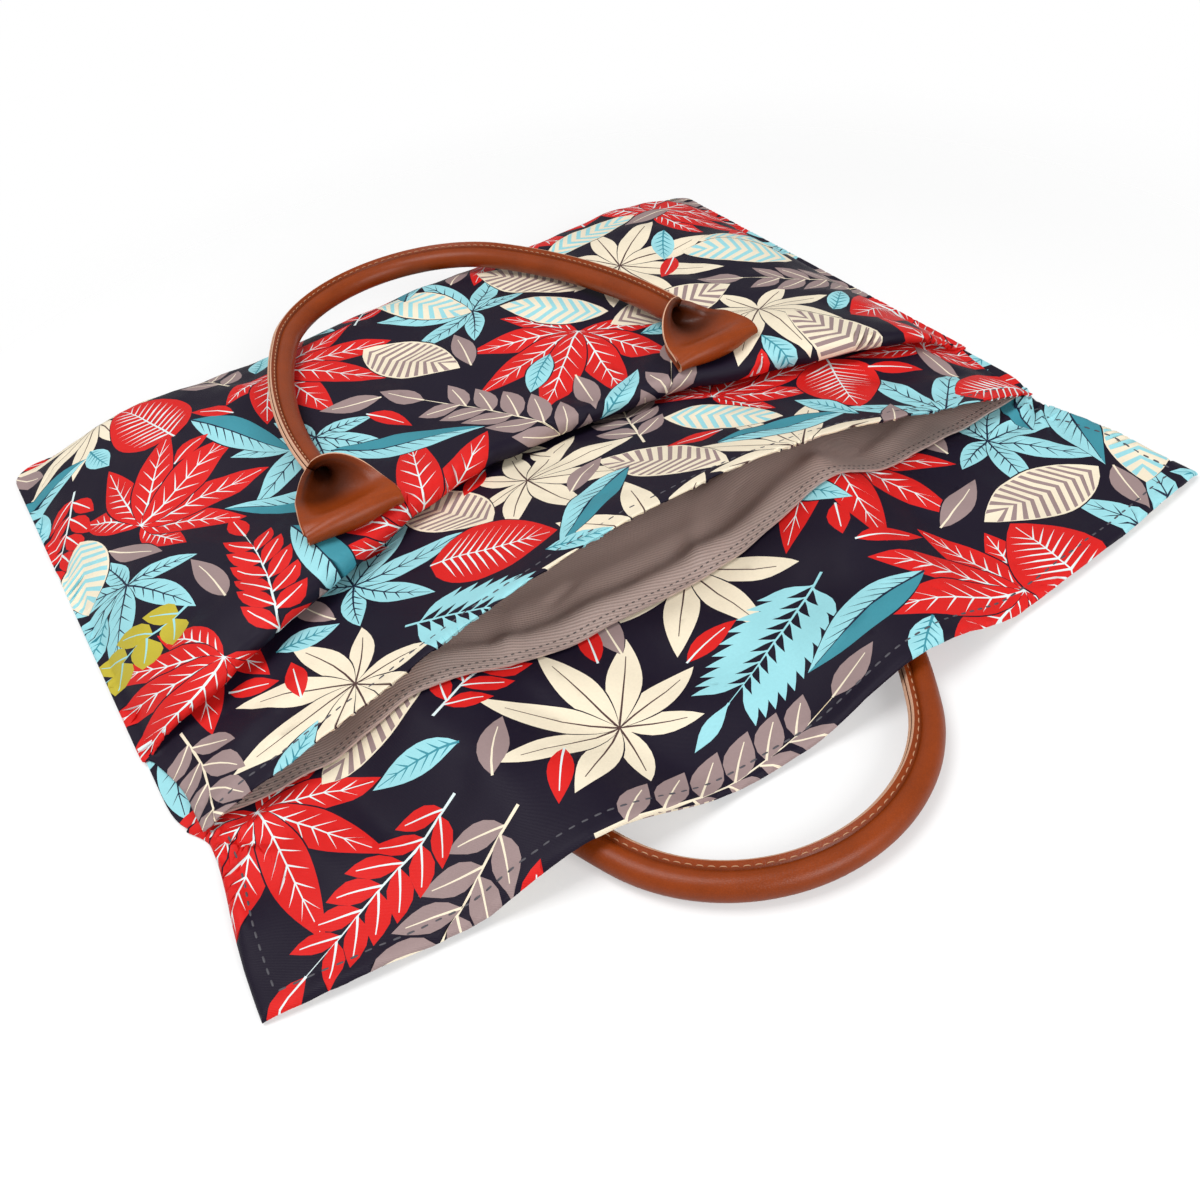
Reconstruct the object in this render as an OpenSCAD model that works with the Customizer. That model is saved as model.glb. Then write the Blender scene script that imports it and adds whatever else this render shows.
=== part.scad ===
/* [Bag] */
// Width of the bag between its side seams
bag_w = 400; // [380:2:420]
// Distance from the middle of the bag to its bottom seam
bottom_y = 188; // [180:1:196]
// Distance from the middle of the bag to the front mouth edge
mouth_y = 97; // [92:1:102]
// Length of the back panel that stands past the mouth as a flap
flap_l = 79; // [70:1:84]
// Bow of the flap's free edge past the line of its corners
flap_bow = 18; // [0:1:20]
// Width of the sewn edge where the front lies flat on the back
seam_w = 4; // [3:0.5:5]

/* [Cloth] */
// Thickness of the printed outer cloth
outer_t = 1.2; // [0.8:0.1:1.4]
// Thickness of the soft padding between the outer cloth and the lining
padding_t = 1.8; // [1.2:0.1:2]
// Thickness of the lining and of the printed flap facing
lining_t = 0.8; // [0.6:0.1:1]
// Gap left between two layers of cloth
ply_gap = 0.2; // [0.1:0.05:0.3]
// Margin by which the inner layers stop short of the seams
inner_margin = 14; // [12:1:20]

/* [Puff and fold] */
// Height of the front panel over the middle of the empty bag
crown_z = 27; // [25:0.5:28]
// Extra height of the rolled ridge that carries the handle tabs
ridge_rise = 3; // [2:0.5:4]
// Height of the valley in front of the ridge
valley_z = 18.5; // [18:0.5:20]
// Place of the ridge's lip in the middle of the bag
lip_y = 2; // [-4:1:6]
// Distance by which the lip sweeps towards the mouth at the sides
lip_sweep = 50; // [40:1:54]
// Length of the steep face from the lip down to the valley
fold_l = 14; // [12:1:18]
// Height of the mouth edge at its corners
rim_low = 10; // [8:0.5:12]
// Height that the mouth edge gains where it gapes
rim_rise = 35; // [28:1:38]
// Place across the bag where the mouth gapes widest
gape_x = 12; // [0:1:20]
// Depth of the creases that run from the mouth corners over the front
crease_d = 1.6; // [0:0.1:2]

/* [Handles] */
// Distance from the middle of the bag to each handle leg
leg_x = 88; // [84:1:92]
// Rise of a handle's arch over its necks
arch_rise = 158; // [154:1:164]
// Radius of the arch's crown
crown_r = 66; // [60:1:70]
// Outside radius of the rolled leather
tube_r = 5; // [4.5:0.1:5.5]
// Thickness of the leather
leather_t = 1.4; // [1.2:0.1:1.6]
// Height of the stitched fin where the strip's two edges meet
fin_h = 3.4; // [2.5:0.1:4]
// Width of the leather strip where it lies open
strip_w = 42; // [38:1:44]
// Length over which the open strip rolls up into a tube
flare_l = 34; // [32:1:38]
// Length of the strip's end that is sewn to the bag
tab_l = 30; // [24:1:34]
// Angle by which the front handle leans down onto the front panel
front_lean = 2.4; // [2:0.1:2.8]
// Angle by which the back handle is turned on the floor
back_turn = 6; // [0:0.5:8]
// Distance by which the back handle is pushed to the left
back_shift = 13; // [0:1:16]

/* [Detail] */
// Cells across each panel
cells_x = 22; // [16:2:30]
// Cells along the band between the mouth and the valley
cells_band = 5; // [4:1:8]
// Cells on the steep face of the fold
cells_fold = 4; // [3:1:6]
// Cells from the ridge to the bottom seam
cells_body = 9; // [6:1:14]
// Cells along the flap and over the back handle
cells_flap = 15; // [10:1:20]
// Cells along the flat part of the back panel
cells_flat = 5; // [3:1:8]
// Cells along each flare of the handle straps
cells_flare = 7; // [5:1:10]
// Cells along each flank of a handle's arch
cells_flank = 4; // [3:1:8]
// Cells round the crown of a handle's arch
cells_crown = 9; // [7:1:16]
// Cells across and along each sewn tab
cells_tab = 5; // [4:1:8]

/* [Hidden] */
$fn = 32;

// Colours
navy = [0.13, 0.13, 0.2];
taupe = [0.47, 0.41, 0.39];
foam_grey = [0.75, 0.75, 0.74];
saddle = [0.58, 0.3, 0.12];
cord_white = [0.85, 0.82, 0.75];

// Plan of the bag
half_w = bag_w / 2;
corner_y = -mouth_y - flap_l;
seam_z = 2 * outer_t;
side_round = 8;
end_round = 10;
end_start = 50;
mouth_draw = 7;

// Layers, as depths below the outer face
padding_d = outer_t + ply_gap;
lining_d = padding_d + padding_t + ply_gap;

// Handle arch: two flanks and a crown that meet on a common tangent
flank_r = (2 * arch_rise * crown_r - leg_x * leg_x - arch_rise * arch_rise) / (2 * (crown_r - leg_x));
crown_y = arch_rise - crown_r;
flank_angle = atan2(crown_y, flank_r - leg_x);
mid_r = tube_r - leather_t / 2;
ring_steps = 4;
ring_step = 0.92 * PI * mid_r / ring_steps;
open_w = 2 * (ring_steps * ring_step + fin_h);
ring_close = 0.93;
tube_mid_z = mid_r;
core_r = mid_r - leather_t / 2 - 0.5;
core_sides = 8;
front_fin_tilt = 40;
back_fin_tilt = -55;
back_press = 0.44;

// Hinge lines, where the leather bends at the top of each sewn tab
clearance = 0.4;
front_hinge_y = -12;
front_hinge_z = crown_z + ridge_rise + 1.5 * leather_t + tab_l * sin(front_lean) + 3 * clearance;
back_hinge_y = -45;
back_hinge_z = leather_t / 2 + 2 * clearance;
fold_r = leather_t / 2 + 0.2;
flare_start = fold_r + clearance;
back_neck_y = back_hinge_y - flare_l;
back_tube_z = back_hinge_z + mid_r;
tube_lift = back_tube_z + tube_r + 4.6;
tab_lift = 4.8;
bump_r = 44;

function clamp01(t) = max(0, min(1, t));
function ease(t) = let (s = clamp01(t)) s * s * (3 - 2 * s);
function mix(a, b, t) = a + (b - a) * t;
function bump(t) = abs(t) >= 1 ? 0 : pow(1 - t * t, 2);

// Cells close up towards the side seams
function across(i) = sin(90 * (2 * i / cells_x - 1));

// Front panel: the mouth edge, the band behind it, the fold and the puffed body
function front_half(y) = half_w - mouth_draw * ease((lip_y - 30 - y) / 50);
function lip_at(x) = lip_y - lip_sweep * pow(sin(90 * clamp01(abs(x) / half_w)), 2);
function valley_at(x) = lip_at(x) - fold_l;
function shoulder(x, half) = 1 - pow(clamp01(abs(x) / (half - seam_w)), side_round);

function rim_z(x) =
    let (t = x < gape_x ? (gape_x - x) / (half_w + gape_x) : (x - gape_x) / (half_w - gape_x))
    rim_low + rim_rise * (1 + cos(180 * pow(clamp01(t), 1.3))) / 2;

function end_roll(y) = 1 - pow(clamp01((y - end_start) / (bottom_y - seam_w - end_start)), end_round);

function body_z(x, y) =
    let (rise = crown_z + ridge_rise * exp(-pow((y - lip_y - 8) / 40, 2)))
    seam_z + (rise - seam_z) * shoulder(x, front_half(y)) * end_roll(y);

function creases(x, y) =
    let (run = clamp01((y + mouth_y) / 90), side = abs(x) / front_half(y))
    crease_d * sin(540 * (side + 0.35 * run)) * ease(side * 2 - 0.7) * (1 - run) * ease((1 - side) * 9);

function band_z(x, y) =
    let (low = seam_z + (valley_z - seam_z) * shoulder(x, front_half(y)),
         t = clamp01((valley_at(x) - y) / (valley_at(x) + mouth_y)))
    mix(low, rim_z(x), t) + creases(x, y);

function front_z(x, y) = mix(band_z(x, y), body_z(x, y), ease((y - valley_at(x)) / fold_l));

cells_front = cells_band + cells_fold + cells_body + 1;

function front_row_y(x, j) =
    j <= cells_band ? mix(-mouth_y, valley_at(x), j / cells_band)
    : j <= cells_band + cells_fold ? mix(valley_at(x), lip_at(x), (j - cells_band) / cells_fold)
    : j < cells_front
        ? mix(lip_at(x), bottom_y - seam_w, pow((j - cells_band - cells_fold) / cells_body, 0.75))
    : bottom_y;

function front_point(i, j, depth) =
    let (y = front_row_y(across(i) * half_w, j), x = across(i) * front_half(y))
    [x, y, front_z(x, y) - depth];

// Handle seen from above, with its necks on the line h = 0 and its crown at arch_rise
function arch_gap(x, h) =
    let (side = abs(x), flank = [side - leg_x + flank_r, h])
    h < 0 ? abs(side - leg_x)
    : atan2(flank.y, flank.x) < flank_angle ? abs(norm(flank) - flank_r)
    : abs(norm([side, h - crown_y]) - crown_r);

// A floor point in the back handle's own plan
function to_back_arch(x, y) =
    let (dx = x + back_shift, dy = back_neck_y - y)
    [dx * cos(back_turn) + dy * sin(back_turn), dy * cos(back_turn) - dx * sin(back_turn)];

// Back panel: flat on the floor, lifted where it lies over the back handle and its tabs
function back_lift(x, y) =
    let (p = to_back_arch(x, y),
         tube = tube_lift * bump(arch_gap(p.x, p.y) / bump_r) * ease((back_hinge_y - 1 - y) / 16),
         tab = tab_lift * bump((abs(x) - leg_x) / bump_r)
             * ease((tab_l + 34 + back_hinge_y - y) / 30) * ease((y - corner_y) / 60))
    max(tube, tab);

function flap_edge_y(x) = corner_y - flap_bow * (1 - pow(x / half_w, 2));

cells_back = cells_flap + cells_flat + 1;
flat_y = 44;

function back_row_y(x, j) =
    j <= cells_flap ? mix(flap_edge_y(x), flat_y, j / cells_flap)
    : j < cells_back ? mix(flat_y, bottom_y - seam_w, (j - cells_flap) / cells_flat)
    : bottom_y;

function back_point(i, j, height) =
    let (x = across(i) * half_w, y = back_row_y(x, j))
    [x, y, back_lift(x, y) + height];

// First row of the back panel that lies past the mouth line, where facing and lining meet
facing_rows = round(cells_flap * (flap_l + flap_bow) / (flat_y + mouth_y + flap_l + flap_bow));

// A closed sheet between an upper and a lower grid of points with the same plan
module sheet(upper, lower) {
    rows = len(upper);
    cols = len(upper[0]);
    under = rows * cols;
    function id(j, i) = j * cols + i;
    top = [for (j = [0:rows - 2], i = [0:cols - 2]) each [
        [id(j, i), id(j + 1, i), id(j + 1, i + 1)],
        [id(j, i), id(j + 1, i + 1), id(j, i + 1)]]];
    bottom = [for (f = top) [f[0] + under, f[2] + under, f[1] + under]];
    rim = concat(
        [for (i = [0:cols - 2]) [id(0, i), id(0, i + 1)]],
        [for (j = [0:rows - 2]) [id(j, cols - 1), id(j + 1, cols - 1)]],
        [for (i = [cols - 1:-1:1]) [id(rows - 1, i), id(rows - 1, i - 1)]],
        [for (j = [rows - 1:-1:1]) [id(j, 0), id(j - 1, 0)]]);
    walls = [for (e = rim) each [[e[0], e[1], e[1] + under], [e[0], e[1] + under, e[0] + under]]];
    polyhedron(concat([for (r = upper) each r], [for (r = lower) each r]), concat(top, bottom, walls));
}

// One layer of the front between two depths, over a range of cells
module front_layer(cols, rows, depth, thick) {
    sheet([for (j = rows) [for (i = cols) front_point(i, j, depth)]],
          [for (j = rows) [for (i = cols) front_point(i, j, depth + thick)]]);
}

// One layer of the back between two heights, over a range of cells
module back_layer(cols, rows, height, thick) {
    sheet([for (j = rows) [for (i = cols) back_point(i, j, height + thick)]],
          [for (j = rows) [for (i = cols) back_point(i, j, height)]]);
}

// Columns that stay clear of the side seams by the inner margin
inner_cols = [for (i = [0:cells_x]) if (abs(across(i)) * half_w < half_w - inner_margin) i];
all_cols = [for (i = [0:cells_x]) i];
last_front_row = cells_front - 3;
last_back_row = cells_back - 2;

module front_panel() {
    color(navy) front_layer(all_cols, [0:cells_front], 0, outer_t);
}

module front_padding() {
    color(foam_grey)
        front_layer(inner_cols, [cells_band + cells_fold:last_front_row], padding_d, padding_t);
}

module front_lining() {
    color(taupe) front_layer(inner_cols, [0:last_front_row], lining_d, lining_t);
}

module back_panel() {
    color(navy) back_layer(all_cols, [0:cells_back], 0, outer_t);
}

module back_padding() {
    color(foam_grey) back_layer(inner_cols, [facing_rows:last_back_row], padding_d, padding_t);
}

module back_lining() {
    color(taupe) back_layer(inner_cols, [facing_rows:last_back_row], lining_d, lining_t);
}

module flap_facing() {
    color(navy) back_layer(all_cols, [0:facing_rows], padding_d, lining_t);
}

// Half section of the strip: steps along it and the heading of each step, where roll goes from
// 0 for the open band to 1 for the rolled tube with its two edges standing up as a fin
function step_length(k) = k <= ring_steps ? ring_step : fin_h;
function step_heading(k, roll) =
    k <= ring_steps ? roll * ring_close * 180 / ring_steps * (k - 0.5) : roll * 90;
function half_section(k, roll) =
    k == 0 ? [0, 0]
    : half_section(k - 1, roll) + step_length(k) * [cos(step_heading(k, roll)), sin(step_heading(k, roll))];

// Vertex k of the half section, widened to the strip where it lies open, pressed down by a share and
// moved off the middle of the leather by lift
function section_point(k, roll, lift, press) =
    let (last = ring_steps + 1,
         before = k == 0 ? -step_heading(1, roll) : step_heading(k, roll),
         after = k == last ? before : step_heading(k + 1, roll),
         mean = (before + after) / 2)
    let (p = half_section(k, roll), wide = mix(strip_w / open_w, 1, roll))
    [p.x * wide, p.y * press] + lift / cos((after - before) / 2) * [-sin(mean), cos(mean)];

// The whole section from edge to edge, turned about the tube's middle by tilt
function strap_section(roll, tilt, lift, press) =
    let (last = ring_steps + 1, middle = [0, roll * tube_mid_z])
    [for (k = [-last:last])
        let (p = section_point(abs(k), roll, lift, press), q = [sign(k) * p.x, p.y] - middle)
        middle + [q.x * cos(tilt) - q.y * sin(tilt), q.x * sin(tilt) + q.y * cos(tilt)]];

// Middle line of the arch at the heading b, which turns from 0 at the left neck to 180 at the right
function arch_at(b) =
    b <= flank_angle ? [flank_r - leg_x - flank_r * cos(b), flank_r * sin(b)]
    : b < 180 - flank_angle ? [-crown_r * cos(b), crown_y + crown_r * sin(b)]
    : [leg_x - flank_r - flank_r * cos(b), flank_r * sin(b)];

arch_headings = concat(
    [for (k = [0:cells_flank - 1]) flank_angle * k / cells_flank],
    [for (k = [0:cells_crown]) flank_angle + (180 - 2 * flank_angle) * k / cells_crown],
    [for (k = [1:cells_flank]) 180 - flank_angle * (1 - k / cells_flank)]);

function turn_plan(p, turn) = [p.x * cos(turn) - p.y * sin(turn), p.x * sin(turn) + p.y * cos(turn)];
function heading(b) = [sin(b), cos(b)];
function curve(p, t) =
    p[0] * pow(1 - t, 3) + p[1] * 3 * t * pow(1 - t, 2) + p[2] * 3 * t * t * (1 - t) + p[3] * pow(t, 3);

// Stations along a strap: plan place, heading, roll and share of the fin's tilt
function arch_stations(turn, shift) =
    [for (b = arch_headings) [turn_plan(arch_at(b), turn) + [shift, flare_l], b - turn, 1, 1]];

function flare_stations(side, turn, shift) =
    let (end = turn_plan([side * leg_x, 0], turn) + [shift, flare_l],
         way = heading(-turn) * flare_l / 3,
         line = [[side * leg_x, flare_start], [side * leg_x, flare_l / 3], end - way, end])
    [for (k = [0:cells_flare - 1])
        let (t = k / cells_flare)
        [curve(line, t), (side < 0 ? 0 : 180) - turn * ease(t), pow(ease(t), 1.6), pow(ease(t), 3)]];

function strap_stations(turn, shift) =
    let (right = flare_stations(1, turn, shift))
    concat(flare_stations(-1, turn, shift), arch_stations(turn, shift),
           [for (k = [cells_flare - 1:-1:0]) right[k]]);

// A point of a section placed at a station
function place_at(station, q) =
    let (side = heading(station[1] + 90))
    [station[0].x + q.x * side.x, station[0].y + q.x * side.y, q.y];

// One strip of leather, rolled along its arch and open at both ends, with its hinge line on the X axis
module strap(turn, shift, tilt, press) {
    stations = strap_stations(turn, shift);
    grids = [for (lift = [leather_t / 2, -leather_t / 2])
        [for (st = stations)
            let (flat = mix(press, 1, pow(st[3], 4)))
            [for (q = strap_section(st[2], tilt * st[3], lift, flat)) place_at(st, q)]]];
    sheet(grids[0], grids[1]);
}

// Filler cord inside the rolled part of a strap
module strap_core(turn, shift) {
    stations = arch_stations(turn, shift);
    last = len(stations) - 1;
    points = [for (st = stations, k = [0:core_sides - 1])
        place_at(st, core_r * heading(360 * k / core_sides) + [0, tube_mid_z])];
    sides = [for (j = [0:last - 1], k = [0:core_sides - 1])
        let (next = (k + 1) % core_sides, a = j * core_sides, b = a + core_sides)
        each [[a + k, b + next, a + next], [a + k, b + k, b + next]]];
    caps = [[for (k = [0:core_sides - 1]) k], [for (k = [core_sides - 1:-1:0]) last * core_sides + k]];
    polyhedron(points, concat(sides, caps));
}

module at_front() {
    translate([0, front_hinge_y, front_hinge_z]) rotate([-front_lean, 0, 0]) children();
}

module at_back() {
    translate([0, back_hinge_y, back_hinge_z]) mirror([0, 1, 0]) children();
}

// Half width of a sewn tab at the share t of its length, rounded off at its end
function tab_half(t) = strip_w / 2 * pow(1 - pow(t, 3) * 0.9, 0.5);

function tab_point(side, i, j, height) =
    let (cells = cells_tab,
         t = j / cells,
         x = side * leg_x + tab_half(t) * (2 * i / cells - 1),
         y = front_hinge_y + fold_r + clearance + tab_l * t)
    [x, y, front_z(x, y) + height];

function tab_grid(side, height) =
    [for (j = [0:cells_tab]) [for (i = [0:cells_tab]) tab_point(side, i, j, height)]];

// Round fold of the leather, along the hinge line at the top of a sewn tab
module tab_fold() {
    rotate([0, 90, 0]) cylinder(r = fold_r, h = strip_w - 2, center = true);
}

// Sewn end of the front strap, which follows the ridge of the front panel
module front_tab(side) {
    color(saddle) {
        sheet(tab_grid(side, clearance + leather_t), tab_grid(side, clearance));
        translate([side * leg_x, front_hinge_y, front_hinge_z]) tab_fold();
    }
}

// Sewn end of the back strap, flat between the floor and the back panel
module back_tab(side) {
    straight_l = tab_l - strip_w / 4;
    color(saddle)
        translate([side * leg_x, back_hinge_y, back_hinge_z]) {
            tab_fold();
            translate([0, 0, -leather_t / 2])
                linear_extrude(leather_t) {
                    translate([-strip_w / 2, 0]) square([strip_w, straight_l]);
                    intersection() {
                        translate([0, straight_l - strip_w / 4]) circle(d = strip_w * 1.118);
                        translate([-strip_w / 2, 0]) square([strip_w, tab_l * 2]);
                    }
                }
        }
}

module front_handle() {
    color(saddle) at_front() strap(0, 0, front_fin_tilt, 1);
}

module front_handle_core() {
    color(cord_white) at_front() strap_core(0, 0);
}

module back_handle() {
    color(saddle) at_back() strap(back_turn, -back_shift, back_fin_tilt, back_press);
}

module back_handle_core() {
    color(cord_white) at_back() strap_core(back_turn, -back_shift);
}

module front_left_tab() {
    front_tab(-1);
}

module front_right_tab() {
    front_tab(1);
}

module back_left_tab() {
    back_tab(-1);
}

module back_right_tab() {
    back_tab(1);
}

front_panel();
front_padding();
front_lining();
back_panel();
back_padding();
back_lining();
flap_facing();
front_handle();
front_handle_core();
front_left_tab();
front_right_tab();
back_handle();
back_handle_core();
back_left_tab();
back_right_tab();
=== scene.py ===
"""Flat laptop bag of leaf-printed cloth with rolled leather handles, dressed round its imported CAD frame."""

import logging
import math
import random
from collections.abc import Callable, Sequence
from dataclasses import dataclass, field, replace
from enum import Enum

import bpy
import numpy as np
from bpy.types import Material, Node, NodeOutputs, NodeSocket, NodeTree, Object
from mathutils import Matrix, Vector
from mathutils.bvhtree import BVHTree
from mathutils.geometry import delaunay_2d_cdt


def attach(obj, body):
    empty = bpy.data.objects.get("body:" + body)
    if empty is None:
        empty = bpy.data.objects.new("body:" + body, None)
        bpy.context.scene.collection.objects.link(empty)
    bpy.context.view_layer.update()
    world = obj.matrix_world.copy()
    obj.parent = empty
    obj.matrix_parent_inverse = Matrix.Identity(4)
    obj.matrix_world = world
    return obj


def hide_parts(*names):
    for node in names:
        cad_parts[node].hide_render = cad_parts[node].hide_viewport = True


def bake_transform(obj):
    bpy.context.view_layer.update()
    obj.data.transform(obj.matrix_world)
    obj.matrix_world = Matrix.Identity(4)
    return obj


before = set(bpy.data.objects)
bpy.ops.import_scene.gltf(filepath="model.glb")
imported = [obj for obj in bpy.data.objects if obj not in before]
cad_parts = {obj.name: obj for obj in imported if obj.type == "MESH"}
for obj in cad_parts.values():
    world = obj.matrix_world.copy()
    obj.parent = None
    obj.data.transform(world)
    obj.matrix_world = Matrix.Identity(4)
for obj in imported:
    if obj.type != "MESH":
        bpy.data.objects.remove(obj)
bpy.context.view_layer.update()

MM = 0.001
TINY = 1e-12
SIDES = (-1, 1)
LOG = logging.getLogger("laptop_bag")
Array = np.ndarray
PlaceFunction = Callable[[Array], Array]
Triple = tuple[float, float, float]


class Body(Enum):
    """Bodies of the part that move on their own."""

    BAG = "bag"
    FRONT = "front_handle"
    BACK = "back_handle"


class Slot(Enum):
    """Material slots of the record."""

    CLOTH = "printed_cloth"
    PADDING = "padding"
    LINING = "lining"
    LEATHER = "leather"
    CORD = "cord"


def ease(t: Array) -> Array:
    """Smooth step from 0 to 1."""
    s = np.clip(t, 0.0, 1.0)
    return s * s * (3.0 - 2.0 * s)


def mix(a: Array, b: Array, t: Array) -> Array:
    """Straight blend from a to b."""
    return a + (b - a) * t


def bump(t: Array) -> Array:
    """Rounded hump of height 1 over the range from -1 to 1."""
    return np.clip(1.0 - t * t, 0.0, None) ** 2


def bell(t: Array) -> Array:
    """Bell curve of height 1, which falls to about a third at -1 and 1."""
    return np.exp(-(t**2))


def round_edge(distance: Array, radius: float) -> Array:
    """Drop of a turned edge of some radius, at a distance from its rim."""
    share = np.clip(1.0 - distance / radius, 0.0, 1.0)
    return radius * (1.0 - np.sqrt(1.0 - share * share))


def turned(points: Array, degrees: float) -> Array:
    """Points in a plane turned about the origin."""
    c, s = math.cos(math.radians(degrees)), math.sin(math.radians(degrees))
    return points @ np.array([[c, s], [-s, c]])


def rows_of(x: Array | float, y: Array | float) -> Array:
    """Rows of two coordinates, either of which may be one number for all rows."""
    return np.column_stack(np.broadcast_arrays(x, y))


def unit_rows(vectors: Array) -> Array:
    """Each row scaled to length 1."""
    return vectors / np.maximum(np.linalg.norm(vectors, axis=1), TINY)[:, None]


def run_along(line: Array) -> Array:
    """Length of a line up to each of its points."""
    return np.concatenate([[0], np.cumsum(np.linalg.norm(np.diff(line, axis=0), axis=1))])


@dataclass(frozen=True)
class Ripples:
    """Soft seeded waves, used for the unevenness that all cloth has."""

    seed: int
    length: float
    height: float
    count: int = 9
    spread: tuple[float, float] = (0.6, 1.7)  # shortest and longest wave, as shares of the middle length

    def at(self, x: Array, y: Array) -> Array:
        """Height of the waves.

        Args:
            x: Places across the bag.
            y: Places along the bag.

        Returns:
            Height at each place.
        """
        draw = random.Random(self.seed)
        total = np.zeros_like(x)
        for _ in range(self.count):
            heading = draw.uniform(0.0, math.tau)
            wave = self.length * draw.uniform(*self.spread)
            phase = draw.uniform(0.0, math.tau)
            total += np.sin(math.tau / wave * (x * math.cos(heading) + y * math.sin(heading)) + phase)
        return self.height * total / math.sqrt(self.count)


@dataclass(frozen=True)
class Crease:
    """A soft ridge or furrow along a straight run of cloth, between two ends in plan."""

    start: tuple[float, float]
    end: tuple[float, float]
    width: float
    height: float  # negative for a furrow
    sway: float = 0.0  # sideways bow in the middle of the run
    taper: float = 3.0  # the ends fade over one part in so many of the run

    def at(self, x: Array, y: Array) -> Array:
        """Height of the crease.

        Args:
            x: Places across the bag.
            y: Places along the bag.

        Returns:
            Height at each place.
        """
        a, b = np.array(self.start), np.array(self.end)
        run = b - a
        length = float(np.hypot(*run))
        along = ((x - a[0]) * run[0] + (y - a[1]) * run[1]) / length**2
        off = ((x - a[0]) * -run[1] + (y - a[1]) * run[0]) / length
        off = off - self.sway * (1.0 - (2.0 * along - 1.0) ** 2)
        fade = ease(along * self.taper) * ease((1.0 - along) * self.taper)
        return self.height * fade * bell(off / self.width)


def relief(parts: Sequence[Crease | Ripples], x: Array, y: Array) -> Array:
    """Sum of several creases or sets of waves at plan places."""
    return sum((part.at(x, y) for part in parts), np.zeros_like(x))


@dataclass(frozen=True)
class Gathers:
    """Puckers of cloth that fan out from the ends of two seams."""

    folds: float  # turn over each radian of the fan
    phase: float  # first turn, opposite on both sides
    fine: float
    fine_height: float
    fine_phase: float
    fade: float  # distance over which all folds die out
    start: float  # distance from a seam's end at which they stand fully
    twist: float = 0.05  # turn over each millimetre of distance

    def at(self, x: Array, half: Array | float, ahead: Array) -> Array:
        """Height of the folds.

        Args:
            x: Places across the bag.
            half: Distance from the middle to the seams' ends.
            ahead: Distances along the bag from the seams' ends.

        Returns:
            Height at each place, about 1 at most.
        """
        total = np.zeros_like(x)
        for side in SIDES:
            off = side * half - x
            reach = np.hypot(off, ahead)
            fan = np.arctan2(ahead, side * off)
            fold = np.sin(fan * self.folds + self.phase * side + self.twist * reach)
            fold = fold + self.fine_height * np.sin(fan * self.fine + self.fine_phase)
            total += fold * np.exp(-reach / self.fade) * ease(reach / self.start)
        return total


@dataclass(frozen=True)
class HandlePlan:
    """A handle seen from above, with its necks on the line h = 0."""

    leg_x: float = 88.0
    arch_rise: float = 158.0
    crown_r: float = 66.0
    flare_l: float = 34.0  # over which the open strip rolls up into a tube

    @property
    def flank_r(self) -> float:
        """Radius of the two flanks, which meet the crown on a common tangent."""
        rise, crown, leg = self.arch_rise, self.crown_r, self.leg_x
        return (2 * rise * crown - leg * leg - rise * rise) / (2 * (crown - leg))

    @property
    def crown_h(self) -> float:
        """Height of the crown's centre over the necks."""
        return self.arch_rise - self.crown_r

    @property
    def flank_angle(self) -> float:
        """Heading at which a flank passes into the crown, in radians."""
        return math.atan2(self.crown_h, self.flank_r - self.leg_x)

    def gap(self, x: Array, h: Array) -> Array:
        """Distance in plan from the handle's middle line.

        Args:
            x: Places across the handle.
            h: Heights over the necks, seen in plan.

        Returns:
            Distance of each place.
        """
        side = np.abs(x)
        from_flank = np.hypot(side - self.leg_x + self.flank_r, h)
        on_flank = np.arctan2(h, side - self.leg_x + self.flank_r) < self.flank_angle
        crown = np.abs(np.hypot(side, h - self.crown_h) - self.crown_r)
        arch = np.where(on_flank, np.abs(from_flank - self.flank_r), crown)
        return np.where(h < 0, np.abs(side - self.leg_x), arch)

    def at(self, heading: float) -> Array:
        """Point of the middle line at a heading.

        Args:
            heading: From 0 at the left neck to pi at the right, in radians.

        Returns:
            The point as (x, h).
        """
        c, s = math.cos(heading), math.sin(heading)
        if heading <= self.flank_angle:
            return np.array([self.flank_r - self.leg_x - self.flank_r * c, self.flank_r * s])
        if heading < math.pi - self.flank_angle:
            return np.array([-self.crown_r * c, self.crown_h + self.crown_r * s])
        return np.array([self.leg_x - self.flank_r - self.flank_r * c, self.flank_r * s])


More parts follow.
